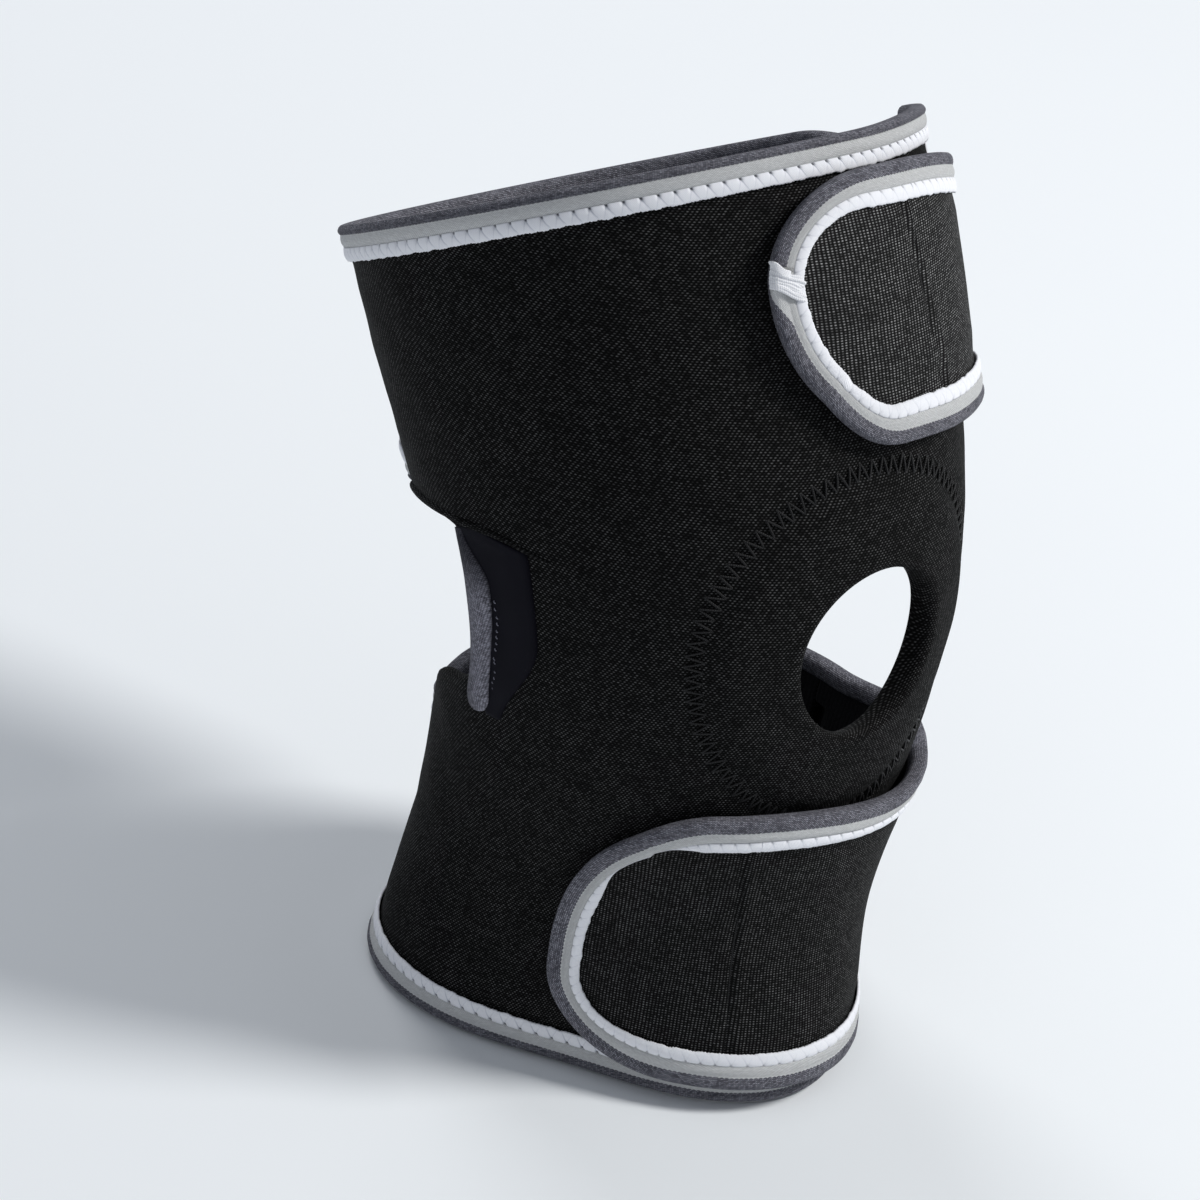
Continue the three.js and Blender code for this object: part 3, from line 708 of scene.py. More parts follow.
def panel_relief(phi, s):
    """Outer offset of the panel: soft waves, pressed edges, and the dome over the patella ring."""
    x, y = from_ring(phi, s)
    distance = np.where(np.abs(phi) < 60, np.hypot(x, y), 200)
    dome = 1.5 * (1 - smooth((distance - 41) / 8))
    groove = -0.75 * bump(distance - ZIGZAG_RADIUS, 2.4)
    edge = np.minimum(np.minimum(rim_height(phi) - s, s), rad(phi - FAR_EDGE) * FAR_EDGE_RADIUS)
    edge = np.where(phi > THIGH_WING_FROM, np.minimum(edge, np.abs(s - thigh_low(phi))), edge)
    edge = np.where(phi > CALF_WING_FROM, np.minimum(edge, np.abs(s - CALF_TOP)), edge)
    pressed = -0.6 * (1 - smooth((edge - 8) / 9))
    swell = 0.55 * waves(rad(phi) * 7.5, s / 9, 4) * smooth(edge / 20)
    fine = 0.16 * waves(rad(phi) * 19, s / 4.6, 9) * smooth(edge / 12)
    return dome + groove + pressed + swell * smooth((distance - 30) / 25) + fine


def hole_warp(phi, s):
    """Pulls the square grid round the hole into rings."""
    x, y = from_ring(phi, s, HOLE_ANGLE)
    square = np.maximum(np.abs(x), np.abs(y))
    scale = square / np.maximum(np.hypot(x, y), 1e-9)
    fade = smooth((square - HOLE_LIP) / 29)
    return to_form(mix(x * scale, x, fade), mix(y * scale, y, fade), HOLE_ANGLE)


def add_hole_wall(cloth, phi, s):
    """Turns the cloth in round the hole and down over the patella ring."""
    x, y = from_ring(phi, s, HOLE_ANGLE)
    size = np.hypot(x, y)
    top = panel_relief(phi, s)
    over = np.array([
        (HOLE_LIP, 0), (HOLE_LIP - 1.0, -0.12), (HOLE_LIP - 1.8, -0.65), (HOLE_LIP - 2.3, -1.3),
        (HOLE_RADIUS, -2.2),
    ])
    under = np.array([
        (0.1, -2.4), (0.5, -3.6), (1.2, -5.2), (2.0, -6.6), (2.7, -7.0), (3.0, -6.4), (2.8, -4.6),
        (2.6, -3.8), (HOLE_LIP - HOLE_RADIUS, -NEOPRENE),
    ])
    distance = np.concatenate([over[:, 0], HOLE_RADIUS + under[:, 0]])[None] + 0 * x[:, None]
    offset = np.concatenate([top[:, None] + over[:, 1], under[:, 1] + 0 * top[:, None]], 1)
    across, up = x[:, None] / size[:, None], y[:, None] / size[:, None]
    around, along = to_form(across * distance, up * distance, HOLE_ANGLE)
    uvs = cloth_uv(around, along)
    depth = np.concatenate([np.zeros((len(x), 1)), np.cumsum(np.abs(np.diff(offset, axis=1)), 1)], 1)
    uvs = uvs - np.stack([x / size, y / size], -1)[:, None, :] * depth[..., None]
    ids = cloth.add(on_form(around, along, offset), uvs)
    cloth.quads(ids, 0, wrap=True, flip=True)


def make_panel():
    """One sheet: thigh zone and wing, knee zone with the hole, calf zone and wing."""
    low_phi, high_phi = (to_form(side * HOLE_LIP, 0, HOLE_ANGLE)[0] for side in (-1, 1))
    hole_s = HOLE_LIP / RING_STRETCH
    first, low = 26, 17  # columns and rows of the grid before the hole
    across_hole = 26
    near = 34
    front = np.concatenate([
        np.linspace(FAR_EDGE, low_phi, first + 1)[:-1],
        np.linspace(low_phi, high_phi, across_hole + 1)[:-1],
        np.linspace(high_phi, NEAR_COLUMN, 33),
    ])
    knee_rows = np.concatenate([
        np.linspace(CALF_TOP, HOLE_HEIGHT - hole_s, low + 1)[:-1],
        np.linspace(HOLE_HEIGHT - hole_s, HOLE_HEIGHT + hole_s, across_hole + 1)[:-1],
        np.linspace(HOLE_HEIGHT + hole_s, THIGH_LOW, 20),
    ])
    cloth = Layered()

    def patch(phi, s, keep=None):
        cloth.patch(phi, s, panel_relief(phi, s), -NEOPRENE + 0 * phi, keep)

    def columns(border, hinge, count):
        beyond = np.linspace(NEAR_COLUMN, border, near + 1)[1:]
        return np.concatenate([front, beyond, np.linspace(border, hinge, count)[1:]])

    calf = columns(CALF_WING_FROM, LOWER.hinge - 0.4, 80)
    patch(*np.meshgrid(calf, np.linspace(0, CALF_TOP, 44), indexing="ij"))
    thigh = columns(THIGH_WING_FROM, UPPER.hinge - 0.4, 64)[:, None]
    patch(thigh + np.zeros(40), mix(thigh_low(thigh), rim_height(thigh), np.linspace(0, 1, 40)))

    phi, s = np.meshgrid(front, knee_rows, indexing="ij")
    keep = np.ones((len(front) - 1, len(knee_rows) - 1), bool)
    keep[first:first + across_hole, low:low + across_hole] = False
    phi, s = hole_warp(phi, s)
    patch(phi, s, keep)
    last, high = first + across_hole, low + across_hole
    ring = [(i, low) for i in range(first, last)] + [(last, j) for j in range(low, high)]
    ring += [(i, high) for i in range(last, first, -1)] + [(first, j) for j in range(high, low, -1)]
    ring = np.array(ring)
    add_hole_wall(cloth, phi[ring[:, 0], ring[:, 1]], s[ring[:, 0], ring[:, 1]])

    edge = rounded(OPENING_CORNERS)
    _, edge_phi, edge_s = resampled(*edge.T, count=len(knee_rows) - 1)
    u = np.linspace(0, 1, near + 1)[:, None]
    patch(mix(NEAR_COLUMN, edge_phi, u), mix(knee_rows, edge_s, u))

    middle = on_form(HOLE_ANGLE, HOLE_HEIGHT, 0)
    cloth.close(skip=lambda ends: (np.linalg.norm(ends - middle, axis=1) < 32 * MM).all())
    parts = "thigh_panel", "knee_panel", "calf_panel"
    return finish_piece(cloth, "panel", [BODY_KNIT, LINING], "panel", bend_with_knee, *parts)


# ---------------------------------------------------------------- threads and beads


def tube(cloth, path, radius, sides=6, ends=True):
    """A round thread along a path of points in metres; radius in millimetres."""
    path = np.asarray(path, float)
    radius = np.broadcast_to(radius, len(path)) * MM
    along = unit(np.gradient(path, axis=0))
    outward = path - np.array(KNEE_PIN)
    outward[:, 2] *= 0.01
    side = unit(np.cross(along, outward))
    up = np.cross(side, along)
    turn = 2 * np.pi * np.arange(sides) / sides
    ring = side[:, None] * np.cos(turn)[None, :, None] + up[:, None] * np.sin(turn)[None, :, None]
    points = path[:, None] + ring * radius[:, None, None]
    uvs = paired(walked(path)[:, None] / MM, turn / (2 * np.pi))
    cloth.hose(cloth.add(points, uvs), ends=ends)


def lay_stitch(cloth, start, finish, radius, crown):
    """One stitch between two places (phi, s, n): it rises out of the cloth and dives back in."""
    t = np.linspace(0, 1, 7)
    phi, s, n = (mix(a, b, t) for a, b in zip(start, finish))
    lift = crown * (1 - np.abs(2 * t - 1) ** 3) - radius * 1.2 * np.abs(2 * t - 1) ** 4
    tube(cloth, on_form(phi, s, n + lift), radius)


def make_patella_stitching():
    """The ring of zigzag stitches that holds the patella ring behind the cloth."""
    cloth = Cloth()
    count = 94
    half_width = 2.6
    rng = np.random.default_rng(12)
    corners = []
    for k in range(2 * count):
        turn = math.pi * (k + rng.uniform(-0.14, 0.14)) / count
        reach = ZIGZAG_RADIUS + (half_width if k % 2 else -half_width) + rng.uniform(-0.3, 0.3)
        phi, s = to_form(reach * math.sin(turn), reach * math.cos(turn))
        corners.append((phi, s, float(panel_relief(phi, s))))
    for k, corner in enumerate(corners):
        lay_stitch(cloth, corners[k - 1], corner, 0.32, 0.04)
    return finish_piece(
        cloth, "patella_zigzag_thread", [BLACK_THREAD], "thread", bend_with_knee, "patella_zigzag"
    )


def make_patella_pad():
    """The padded ring behind the cloth, with a flat sewing flange outside it."""
    profile = [
        (28.8, -4.2), (29.6, -3.9), (34, -3.9), (44, -3.9), (49, -3.9),
        (52.8, -3.9), (53.3, -4.3), (52.8, -4.8), (49, -5.0), (46.2, -5.1), (44.6, -5.5), (42.5, -6.2),
        (39, -7.0), (36, -7.6), (33, -8.0), (31, -8.0), (29.4, -7.4), (28.8, -6.2),
    ]
    around = 144
    turn = 2 * np.pi * np.arange(around) / around
    distance, offset = np.array(profile).T[:, None]
    quilt = 0.18 * waves(np.cos(turn) * 5, np.sin(turn) * 5, 2)[:, None] * (offset < -6)
    phi, s = to_form(distance * np.sin(turn)[:, None], distance * np.cos(turn)[:, None])
    cloth = Cloth()
    ids = cloth.add(on_form(phi, s, offset + quilt), cloth_uv(phi, s))
    ids = np.concatenate([ids, ids[:, :1]], 1)
    cloth.quads(ids, 0, wrap=True, flip=True)
    parts = "patella_buttress", "buttress_cover"
    pad = finish_piece(cloth, "patella_ring_pad", [LINING], "foam", bend_with_knee, *parts)


# ---------------------------------------------------------------- edge trim

# Section of the tape: inward distance, and offset from the outer face or, under it, the inner face
TAPE_OVER = [
    (-1.0, -0.6), (-0.85, 0.1), (-0.4, 0.6), (0.4, 0.95), (1.3, 1.05), (2.2, 0.98), (2.9, 0.8),
    (DARK_TAPE, 0.68), (3.9, 0.8), (4.8, 0.95), (5.9, 0.92), (7.0, 0.62), (TAPE_WIDTH, 0.2),
]
TAPE_UNDER = [(3.5, -0.15), (3.2, -0.5), (2.4, -0.65), (1.2, -0.65), (0.2, -0.45), (-0.6, 0.1), (-1.0, 0.9)]


EDGE_STEP = 0.42


class Edge:
    """An edge of the panel or of a strap: places along it, the way into the cloth, and its thickness."""

    def __init__(self, phi, s, side, bands, strap=None, narrow=None, tuck=0):
        self.side = side
        self.along, self.phi, self.s = resampled(phi, s, step=EDGE_STEP)
        count = len(self.along)
        self.bands = np.broadcast_to(bands(self.phi) if callable(bands) else bands, (count, 3))
        self.strap = strap
        self.thick = strap_thick(strap, self.phi) if strap else NEOPRENE + 0 * self.phi
        self.narrow = narrow(self.phi) if narrow else np.ones(count)
        self.full = smooth(self.along / tuck) if tuck else np.ones(count)
        self.thin = np.ones(count)
        around = np.gradient(rad(self.phi)) * girth(self.phi, self.s)
        upward = np.gradient(self.s) * stretch(self.phi, self.s)
        size = np.hypot(around, upward)
        self.inward = -side * upward / size, side * around / size

    def only(self, picked):
        """The same edge with just the picked places."""
        part = copy.copy(self)
        for value in ("along", "phi", "s", "bands", "thick", "narrow", "full", "thin"):
            setattr(part, value, getattr(self, value)[picked])
        part.inward = self.inward[0][picked], self.inward[1][picked]
        return part

    def every(self, n):
        return self.only(np.unique(np.append(np.arange(0, len(self.phi), n), len(self.phi) - 1)))

    def clear_of_ends(self, first, last):
        return self.only((self.along >= first) & (self.along <= self.along[-1] - last))

    def base(self, phi):
        return strap_outer(self.strap, phi) if self.strap else 0 * phi

    def points(self, inward, height):
        """Points at (places, profile) inward distances and heights over the layer's outer face."""
        phi, s = shifted(
            self.phi[:, None], self.s[:, None],
            self.inward[0][:, None] * inward, self.inward[1][:, None] * inward,
        )
        return on_form(phi, s, self.base(phi) + height)


def sweep(cloth, edge, inward, height, across, along=None):
    """A closed profile swept along an edge, with end caps; it grows out of the cloth at a tucked end."""
    full = 0.05 + 0.95 * edge.full[:, None]
    inward, height = mix(2.0, inward, full), mix(-1.6, height, full)
    inward, height, across = np.broadcast_arrays(inward, height, across)
    along = edge.along[:, None] if along is None else along
    uvs = paired(along, across)
    cloth.hose(cloth.add(edge.points(inward, height), uvs), flip=True)


def add_tape(cloth, edge, turned=None):
    """Sweeps the tape; turned(along) slides its bands towards the edge where it is folded over."""
    edge = edge.every(3)
    dark, full, _ = edge.bands.T[..., None]
    under = [(d, h, -1) for d, h in TAPE_UNDER]
    back = [(TAPE_WIDTH - 0.1, 0.03, 0), (0.1, 0.03, 0), (0.1, -0.03, -1), (3.4, -0.03, -1)]
    profile = under + [(d, h, 0) for d, h in TAPE_OVER] + back
    d, h, low = np.array(profile).T
    pale = dark + (d - DARK_TAPE) * (full - dark) / (TAPE_WIDTH - DARK_TAPE) * edge.narrow[:, None]
    inward = np.where(d > DARK_TAPE, pale, np.where(d > 0, d * dark / DARK_TAPE, d))
    inward = np.where(low < 0, d, inward)
    height = h + low * edge.thick[:, None]
    puff = 0.1 * waves(edge.along[:, None] / 2.2, d[None] / 2, 21)
    height = height + puff * ((h > 0.5) | (h < -0.5))
    travelled = np.concatenate([[0], np.cumsum(np.hypot(np.diff(d), np.diff(h + low * NEOPRENE)))])
    first = len(under) + 2
    across = travelled - travelled[first] + d[first]
    across[len(under) + len(TAPE_OVER):] = -9
    if turned is not None:
        across = across + turned(edge.along)[:, None]
    sweep(cloth, edge, inward, height, across)


def overlock_height(u, v, period, gap):
    """Puffed loops between creases that fan out from each needle hole to the inner edge."""
    def off(phase):
        return np.abs((phase + 0.5) % 1 - 0.5) * period

    depth = 0.34 * bump(off(u - 0.5 * v**1.2), 0.3) * (1 - 0.8 * v)
    depth = depth + 0.16 * bump(off(u + 0.25 * v**1.5), 0.24) * (1 - 0.8 * v)
    ripple = 0.05 * np.cos(8 * np.pi * (u - 0.4 * v)) * smooth((v - 0.3) / 0.4)
    body = np.sin(np.pi * (0.12 + 0.8 * v)) ** 0.5
    hole = np.clip(1 - v * 2.6, 0, 1) * bump(off(u), 0.45)
    return body * (1 - gap * depth) + ripple - 0.7 * gap * hole


def add_overlock(cloth, edge, period, gap):
    dark, full, reach = edge.bands.T[..., None]
    v = np.concatenate([np.linspace(0, 1, 11), [0.97, 0.03]])
    along = edge.along[:, None]
    stitches = edge.side * (along + 0.35 * waves(along / 7, 0 * along, 5)) / period
    height = overlock_height(stitches, v, period, gap) * (0.3 + 0.7 * edge.thin[:, None])
    height[:, -2:] = 0.03
    start = dark + (full - 0.15 - dark) * edge.narrow[:, None]
    scallop = 0.12 * np.abs(np.cos(np.pi * stitches)) + 0.28 * np.abs(np.cos(4 * np.pi * stitches))
    wobble = 0.28 * waves(along / 0.9, 0 * along, 8)
    width = (reach - full - 0.15 + scallop + wobble) * (0.35 + 0.65 * edge.narrow[:, None])
    sweep(cloth, edge, start + v * width * edge.thin[:, None], height, v, along=stitches)


def make_trim(name, nodes, edge, attach, period=4.3, clear=(0, 0), turned=None, close=False):
    """Tape and overlock stitches along an edge, standing for the CAD pieces of those names."""
    tape = Cloth()
    stitches = Cloth()
    add_tape(tape, edge, turned)
    add_overlock(stitches, edge.clear_of_ends(*clear), period, 0.4 if close else 1)
    bands = [f"{node}_{part}" for node in nodes for part in ("binding", "piping")]
    rows = [f"{node}_stitching" for node in nodes]
    thread = CLOSE_OVERLOCK if close else OPEN_OVERLOCK
    return [
        finish_piece(tape, f"{name}_tape", [TAPE], "binding", attach, *bands),
        finish_piece(stitches, f"{name}_overlock", [thread], "stitching", attach, *rows),
    ]


def make_panel_trims():
    """The trims of the panel's five edges, cleared of each other at the far corners."""
    def ends(low, high):
        return np.linspace(low, high, 240)

    rim = ends(FAR_EDGE - 0.6, UPPER.hinge)
    hem = ends(FAR_EDGE - 0.6, LOWER.hinge)
    thigh = ends(THIGH_WING_FROM + 1, UPPER.hinge)
    calf = ends(CALF_WING_FROM + 1, LOWER.hinge)
    side = ends(4.2, rim_height(FAR_EDGE) - 4.2)
    sides = ["thigh_side", "knee_side", "calf_side"]
    plan = [
        ("thigh_rim", ["thigh_rim"], Edge(rim, rim_height(rim), -1, RIM_BANDS), (5.6, 0)),
        ("calf_hem", ["calf_hem"], Edge(hem, 0 * hem, 1, HEM_BANDS), (5.6, 0)),
        ("thigh_wing", ["thigh_wing"], Edge(thigh, thigh_low(thigh), 1, RIM_BANDS, tuck=9), (0, 0)),
        ("calf_wing", ["calf_wing"], Edge(calf, CALF_TOP + 0 * calf, -1, RIM_BANDS, tuck=9), (0, 0)),
        ("far_edge", sides, Edge(FAR_EDGE + 0 * side, side, -1, RIM_BANDS), (5, 5)),
    ]
    trims = []
    for name, nodes, edge, clear in plan:
        trims += make_trim(name, nodes, edge, bend_with_knee, clear=clear)
    return trims


# ---------------------------------------------------------------- straps and tabs


def strap_rise(strap, phi):
    return smooth((phi - strap.ramp) / (RAMP_END - strap.ramp))


def strap_thick(strap, phi):
    return mix(NEOPRENE, STRAP_THICK, strap_rise(strap, phi))


def strap_outer(strap, phi):
    return mix(-NEOPRENE, STRAP_LIFT, strap_rise(strap, phi)) + strap_thick(strap, phi)


def waist_share(strap, phi):
    """A strap may be narrower where it crosses the far edge, and widens again to its tab."""
    return 1 - smooth((phi - WAIST_FROM) / (strap.seam - WAIST_FROM))


def strap_low(strap, phi):
    low = strap.bottom + strap.waist_low * waist_share(strap, phi)
    return mix(strap.wing_bottom, low, strap_rise(strap, phi))


def strap_high(strap, phi):
    high = strap.top - strap.waist_top * waist_share(strap, phi)
    return mix(strap.wing_top, high, strap_rise(strap, phi))


def seam_at(strap, s):
    """Angle of the seam between a strap and its tab; it leans a little."""
    return strap.seam + strap.seam_lean * (s - (strap.top + strap.bottom) / 2)


def strap_relief(strap, phi, s, to_edge):
    """Pressed edges, a soft swell, and a lip beside the seam to the tab."""
    pressed = -0.55 * (1 - smooth((to_edge - 8) / 7))
    swell = 0.3 * waves(rad(phi) * 9, s / 8, 31) * smooth(to_edge / 14)
    from_seam = rad(phi - seam_at(strap, s)) * ABOUT_RADIUS
    ridge = 0.5 * bump(from_seam + 2.1, 1.2)
    trough = -0.45 * bump(from_seam, 1.1)
    bulge = 0.2 * bump(from_seam - 4, 3)
    return pressed + swell + (ridge + trough + bulge) * smooth((to_edge - 3) / 3)


def make_strap(name, strap, bands, wing_body):
    """The strap from its lap over the wing's end to the seam of its tab."""
    lap = 6
    hinge = strap.hinge
    phi = np.concatenate([
        np.linspace(hinge - lap, hinge - 0.25, 7), np.linspace(hinge, hinge + lap, 9)[:-1],
        np.linspace(hinge + lap, strap.seam - 0.3, 76),
    ])[:, None]
    t = np.linspace(0, 1, 46)[None]
    low, high = strap_low(strap, phi), strap_high(strap, phi)
    on_wing = phi < hinge - 0.1
    inset = np.where(on_wing, bands[2] + 0.3, 0)
    s = mix(low + inset, high - inset, t)
    to_edge = np.minimum(s - low, high - s)
    over_wing = 1 - smooth((phi - hinge - 0.8) / (lap - 0.8))
    over_wing = over_wing * np.where(on_wing, 1, smooth((to_edge - bands[2] - 0.3) / 2))
    level = strap_outer(strap, phi)
    outer = level + strap_relief(strap, phi, s, to_edge) * (1 - over_wing) + 1.9 * over_wing
    inner = mix(level - strap_thick(strap, phi), 0.25, over_wing)
    lean = (seam_at(strap, s) - strap.seam) * smooth((phi - strap.seam + 20) / 20)
    cloth = closed_sheet(0.4, phi + lean, s, outer, inner)

    def attach(piece):
        bend_at(piece, wing_body, strap, hinge + 0.3, 1.4)

    obj = finish_piece(cloth, f"{name}_cloth", [strap.knit, LINING], "strap", attach, name)
    places = np.linspace(hinge, strap.seam, 260)

    def widening(wing_bands):
        """The bands start as wide as the wing's and grow to the strap's own widths."""
        return lambda phi: mix(np.array(wing_bands), np.array(bands), smooth((phi[:, None] - hinge) / 16))

    low_bands = RIM_BANDS if strap is UPPER else HEM_BANDS
    top = Edge(places, strap_high(strap, places), -1, widening(RIM_BANDS), strap)
    bottom = Edge(places, strap_low(strap, places), 1, widening(low_bands), strap)
    trims = make_trim(f"{name}_top", [f"{name}_top"], top, attach, close=True)
    trims += make_trim(f"{name}_bottom", [f"{name}_bottom"], bottom, attach, close=True)
    lap_stitches = Cloth()
    pitch, inset = 1.5, 13
    corners = [
        (hinge - (4.6 if k % 2 else 1.4), strap.wing_bottom + inset + pitch * k, 1.9)
        for k in range(int((strap.wing_top - strap.wing_bottom - 2 * inset) / pitch) + 1)
    ]
    for start, finish in zip(corners, corners[1:]):
        lay_stitch(lap_stitches, start, finish, 0.32, 0.3)
    trims.append(finish_piece(lap_stitches, f"{name}_lap_stitches", [BLACK_THREAD], "thread", attach))
    return obj, trims


def tab_outline(tab, inset=0.0, places=40, corner=30):
    """Angle, top and bottom of a tab from its seam to its rounded end."""
    middle = (tab.top + tab.bottom) / 2
    reach = np.degrees((tab.reach - inset) / girth(tab.end, middle))
    last = tab.end - np.degrees(inset / girth(tab.end, middle))
    start = tab.seam + np.degrees(inset / ABOUT_RADIUS)
    straight = np.linspace(start, last - reach, places)
    turn = np.linspace(0, np.pi / 2, corner + 1)[1:]
    drop = np.concatenate([0 * straight, 1 - np.cos(turn)])
    phi = np.concatenate([straight, last - reach + reach * np.sin(turn)])
    top = tab.top - inset - (tab.corner_top - inset) * drop
    bottom = tab.bottom + inset + (tab.corner_bottom - inset) * drop
    return phi, top, bottom


def tab_border(tab):
    """The tab's free edge as one path: along the top, round the end and back along the bottom."""
    phi, top, bottom = tab_outline(tab, places=60, corner=60)
    meet = (top[-1] + bottom[-1]) / 2
    path_phi = np.concatenate([phi, phi[:-1][::-1]])
    path_s = np.concatenate([top[:-1], [meet], bottom[:-1][::-1]])
    _, fine_phi, fine_s = resampled(path_phi, path_s)
    kernel = np.hanning(9) / np.hanning(9).sum()
    for values in (fine_phi, fine_s):
        values[4:-4] = np.convolve(values, kernel, "same")[4:-4]
    return fine_phi, fine_s


# Height at which the two ends of the upper tab's tape meet
JOIN_HEIGHT = 203.5


def tab_edge(tab, bands, narrow=None):
    return Edge(*tab_border(tab), -1, bands, tab, narrow)


def along_at_join(tab, edge):
    """Where the two ends of the tape meet, as a length along the tab's edge."""
    near_end = edge.phi > tab.end - 15
    return edge.along[np.argmin(np.where(near_end, np.abs(edge.s - JOIN_HEIGHT), 1e9))]


def make_seam_thread(name, tab, bands, body):
    """Dark thread down the groove between a strap and its tab."""
    s = np.linspace(tab.bottom + bands[2], tab.top - bands[2], 50)
    phi = seam_at(tab, s) + 0.05
    to_edge = np.minimum(s - tab.bottom, tab.top - s)
    cloth = Cloth()
    level = strap_outer(tab, phi) + strap_relief(tab, phi, s, to_edge) - 0.16
    tube(cloth, on_form(phi, s, level), 0.34)
    return finish_piece(cloth, f"{name}_seam_thread", [BLACK_THREAD], "thread", riding(body))


def make_tab(name, tab, bands, strap_body, period, joined):
    phi, top, bottom = tab_outline(tab)
    t = np.linspace(0, 1, 44)[None]
    s = mix(bottom[:, None], top[:, None], t)
    border_phi, border_s = tab_border(tab)
    places = np.stack([rad(phi)[:, None] * ABOUT_RADIUS + 0 * t, s], -1)
    border = np.stack([rad(border_phi) * ABOUT_RADIUS, border_s], -1)
    to_edge = np.linalg.norm(places[:, :, None] - border[None, None], axis=-1).min(-1)
    level = strap_outer(tab, phi)[:, None]
    outer = level + strap_relief(tab, phi[:, None], s, to_edge)
    lean = (0.2 + seam_at(tab, s) - tab.seam) * (1 - smooth((phi[:, None] - tab.seam) / 15))
    cloth = closed_sheet(0.4, phi[:, None] + lean, s, outer, level - STRAP_THICK + 0 * t)

    def attach(piece):
        bend_at(piece, strap_body, tab, tab.seam + 1, 5)

    obj = finish_piece(cloth, f"{name}_cloth", [tab.knit, LINING], "strap", attach, name)

    def narrow(phi):
        return 1 - 0.38 * smooth((phi - tab.end + 30) / 26)

    edge = tab_edge(tab, bands, narrow)
    if not joined:
        hidden = smooth((edge.along - 13) / 16) * (1 - smooth((edge.along - 44) / 16))
        edge.thin = 1 - 0.9 * hidden

    def turned(along):
        """Past the join the tape starts with its light band folded over the edge."""
        past = along - along_at_join(tab, edge)
        return (DARK_TAPE + 2.2) * (past > 0) * np.clip(1 - (past - 6.5) / 9, 0, 1)

    trims = make_trim(
        f"{name}_edge", [f"{name}_edge"], edge, attach, period,
        turned=turned if joined else None, close=True,
    )
    return obj, [*trims, make_seam_thread(name, tab, bands, strap_body)]


def make_hook_patch(name, tab, body):
    """Backing strip under a tab with rows of little hooks that face the panel."""
    phi, top, bottom = tab_outline(tab, inset=9, places=24, corner=14)
    t = np.linspace(0, 1, 20)[None]
    s = mix(bottom[:, None], top[:, None], t)
    cloth = closed_sheet(0.3, phi[:, None] + 0 * t, s, 1.8 + 0 * s, 0.75 + 0 * s)
    row_pitch, hook_pitch = 1.7, 1.3
    lean = np.array([0, 0.1, 0.35, 0.62])
    depth = np.array([0.8, 0.42, 0.2, 0.34])
    for k, row in enumerate(np.arange(bottom.min() + 2, top.max() - 2, row_pitch)):
        inside = (row > bottom + 2) & (row < top - 2)
        if not inside.any():
            continue
        low, high = phi[inside].min() + 1, phi[inside].max() - 1
        for place in np.arange(low + (k % 2) * 0.6, high, hook_pitch):
            spine = on_form(place + 0 * lean, row + lean * (1 if k % 2 else -1), depth)
            tube(cloth, spine, [0.2, 0.17, 0.15, 0.1], sides=4, ends=False)
    finish_piece(cloth, f"{name}_hooks", [HOOKS, HOOKS], "hook", riding(body), name)


def make_trim_join(tab, bands, body):
    """White whipping that slants over the tape where its two ends meet, with a knot at the edge."""
    edge = tab_edge(tab, bands)
    start = along_at_join(tab, edge)
    cloth = Cloth()
    rng = np.random.default_rng(5)

    def thread(edge_along, inner_along, inner_reach, radius, lift=0.0, outer_reach=-1.15):
        t = np.linspace(0, 1, 16)
        along = mix(edge_along, inner_along, t) + 0.25 * np.sin(7 * t + edge_along)
        at = [np.interp(along, edge.along, v) for v in (edge.phi, edge.s, *edge.inward)]
        inward = mix(outer_reach, inner_reach, t)
        height = 1.15 + 0.45 * np.sin(np.pi * t) - 1.6 * smooth((0.13 - t) / 0.13)
        height = height - 0.5 * smooth((t - 0.9) / 0.1) + lift
        phi, s = shifted(at[0], at[1], at[2] * inward, at[3] * inward)
        tube(cloth, on_form(phi, s, edge.base(phi) + height), radius)

    for k in range(17):
        outer = start + 0.32 * k + rng.uniform(-0.25, 0.25)
        inner = start + 2.8 + 0.45 * k + rng.uniform(-0.5, 0.5)
        thread(outer, inner, rng.uniform(5.6, 7.6), 0.42, lift=rng.uniform(-0.1, 0.3))
    for k in range(5):
        outer = start - 0.9 + 0.35 * k
        thread(outer, start + 1.2 + 0.5 * k, 3.2, 0.4, lift=0.55, outer_reach=-1.9 + 0.25 * k)
    return finish_piece(
        cloth, "trim_join_whipping", [WHITE_THREAD], "stitching", riding(body), "trim_join"
    )


# ---------------------------------------------------------------- opening on the near side

TONGUE_FOOT = 98.5
TONGUE_TOP = 151
OPENING_EDGE = 96


def tongue_left(s):
    return OPENING_EDGE + 1.2 + 4 * np.clip((122 - s) / 24, 0, 1) ** 2


def tongue_right(s):
    return mix(91, 88.3, smooth((s - 100) / 34)) + 6 * smooth((s - 136) / 14)


def facing_border(s):
    low = 76.5 + 11.5 * (1 - smooth((s - 97) / 26))
    return np.maximum(low, 76 + 19 * np.clip((s - 145) / 8.5, 0, 1))


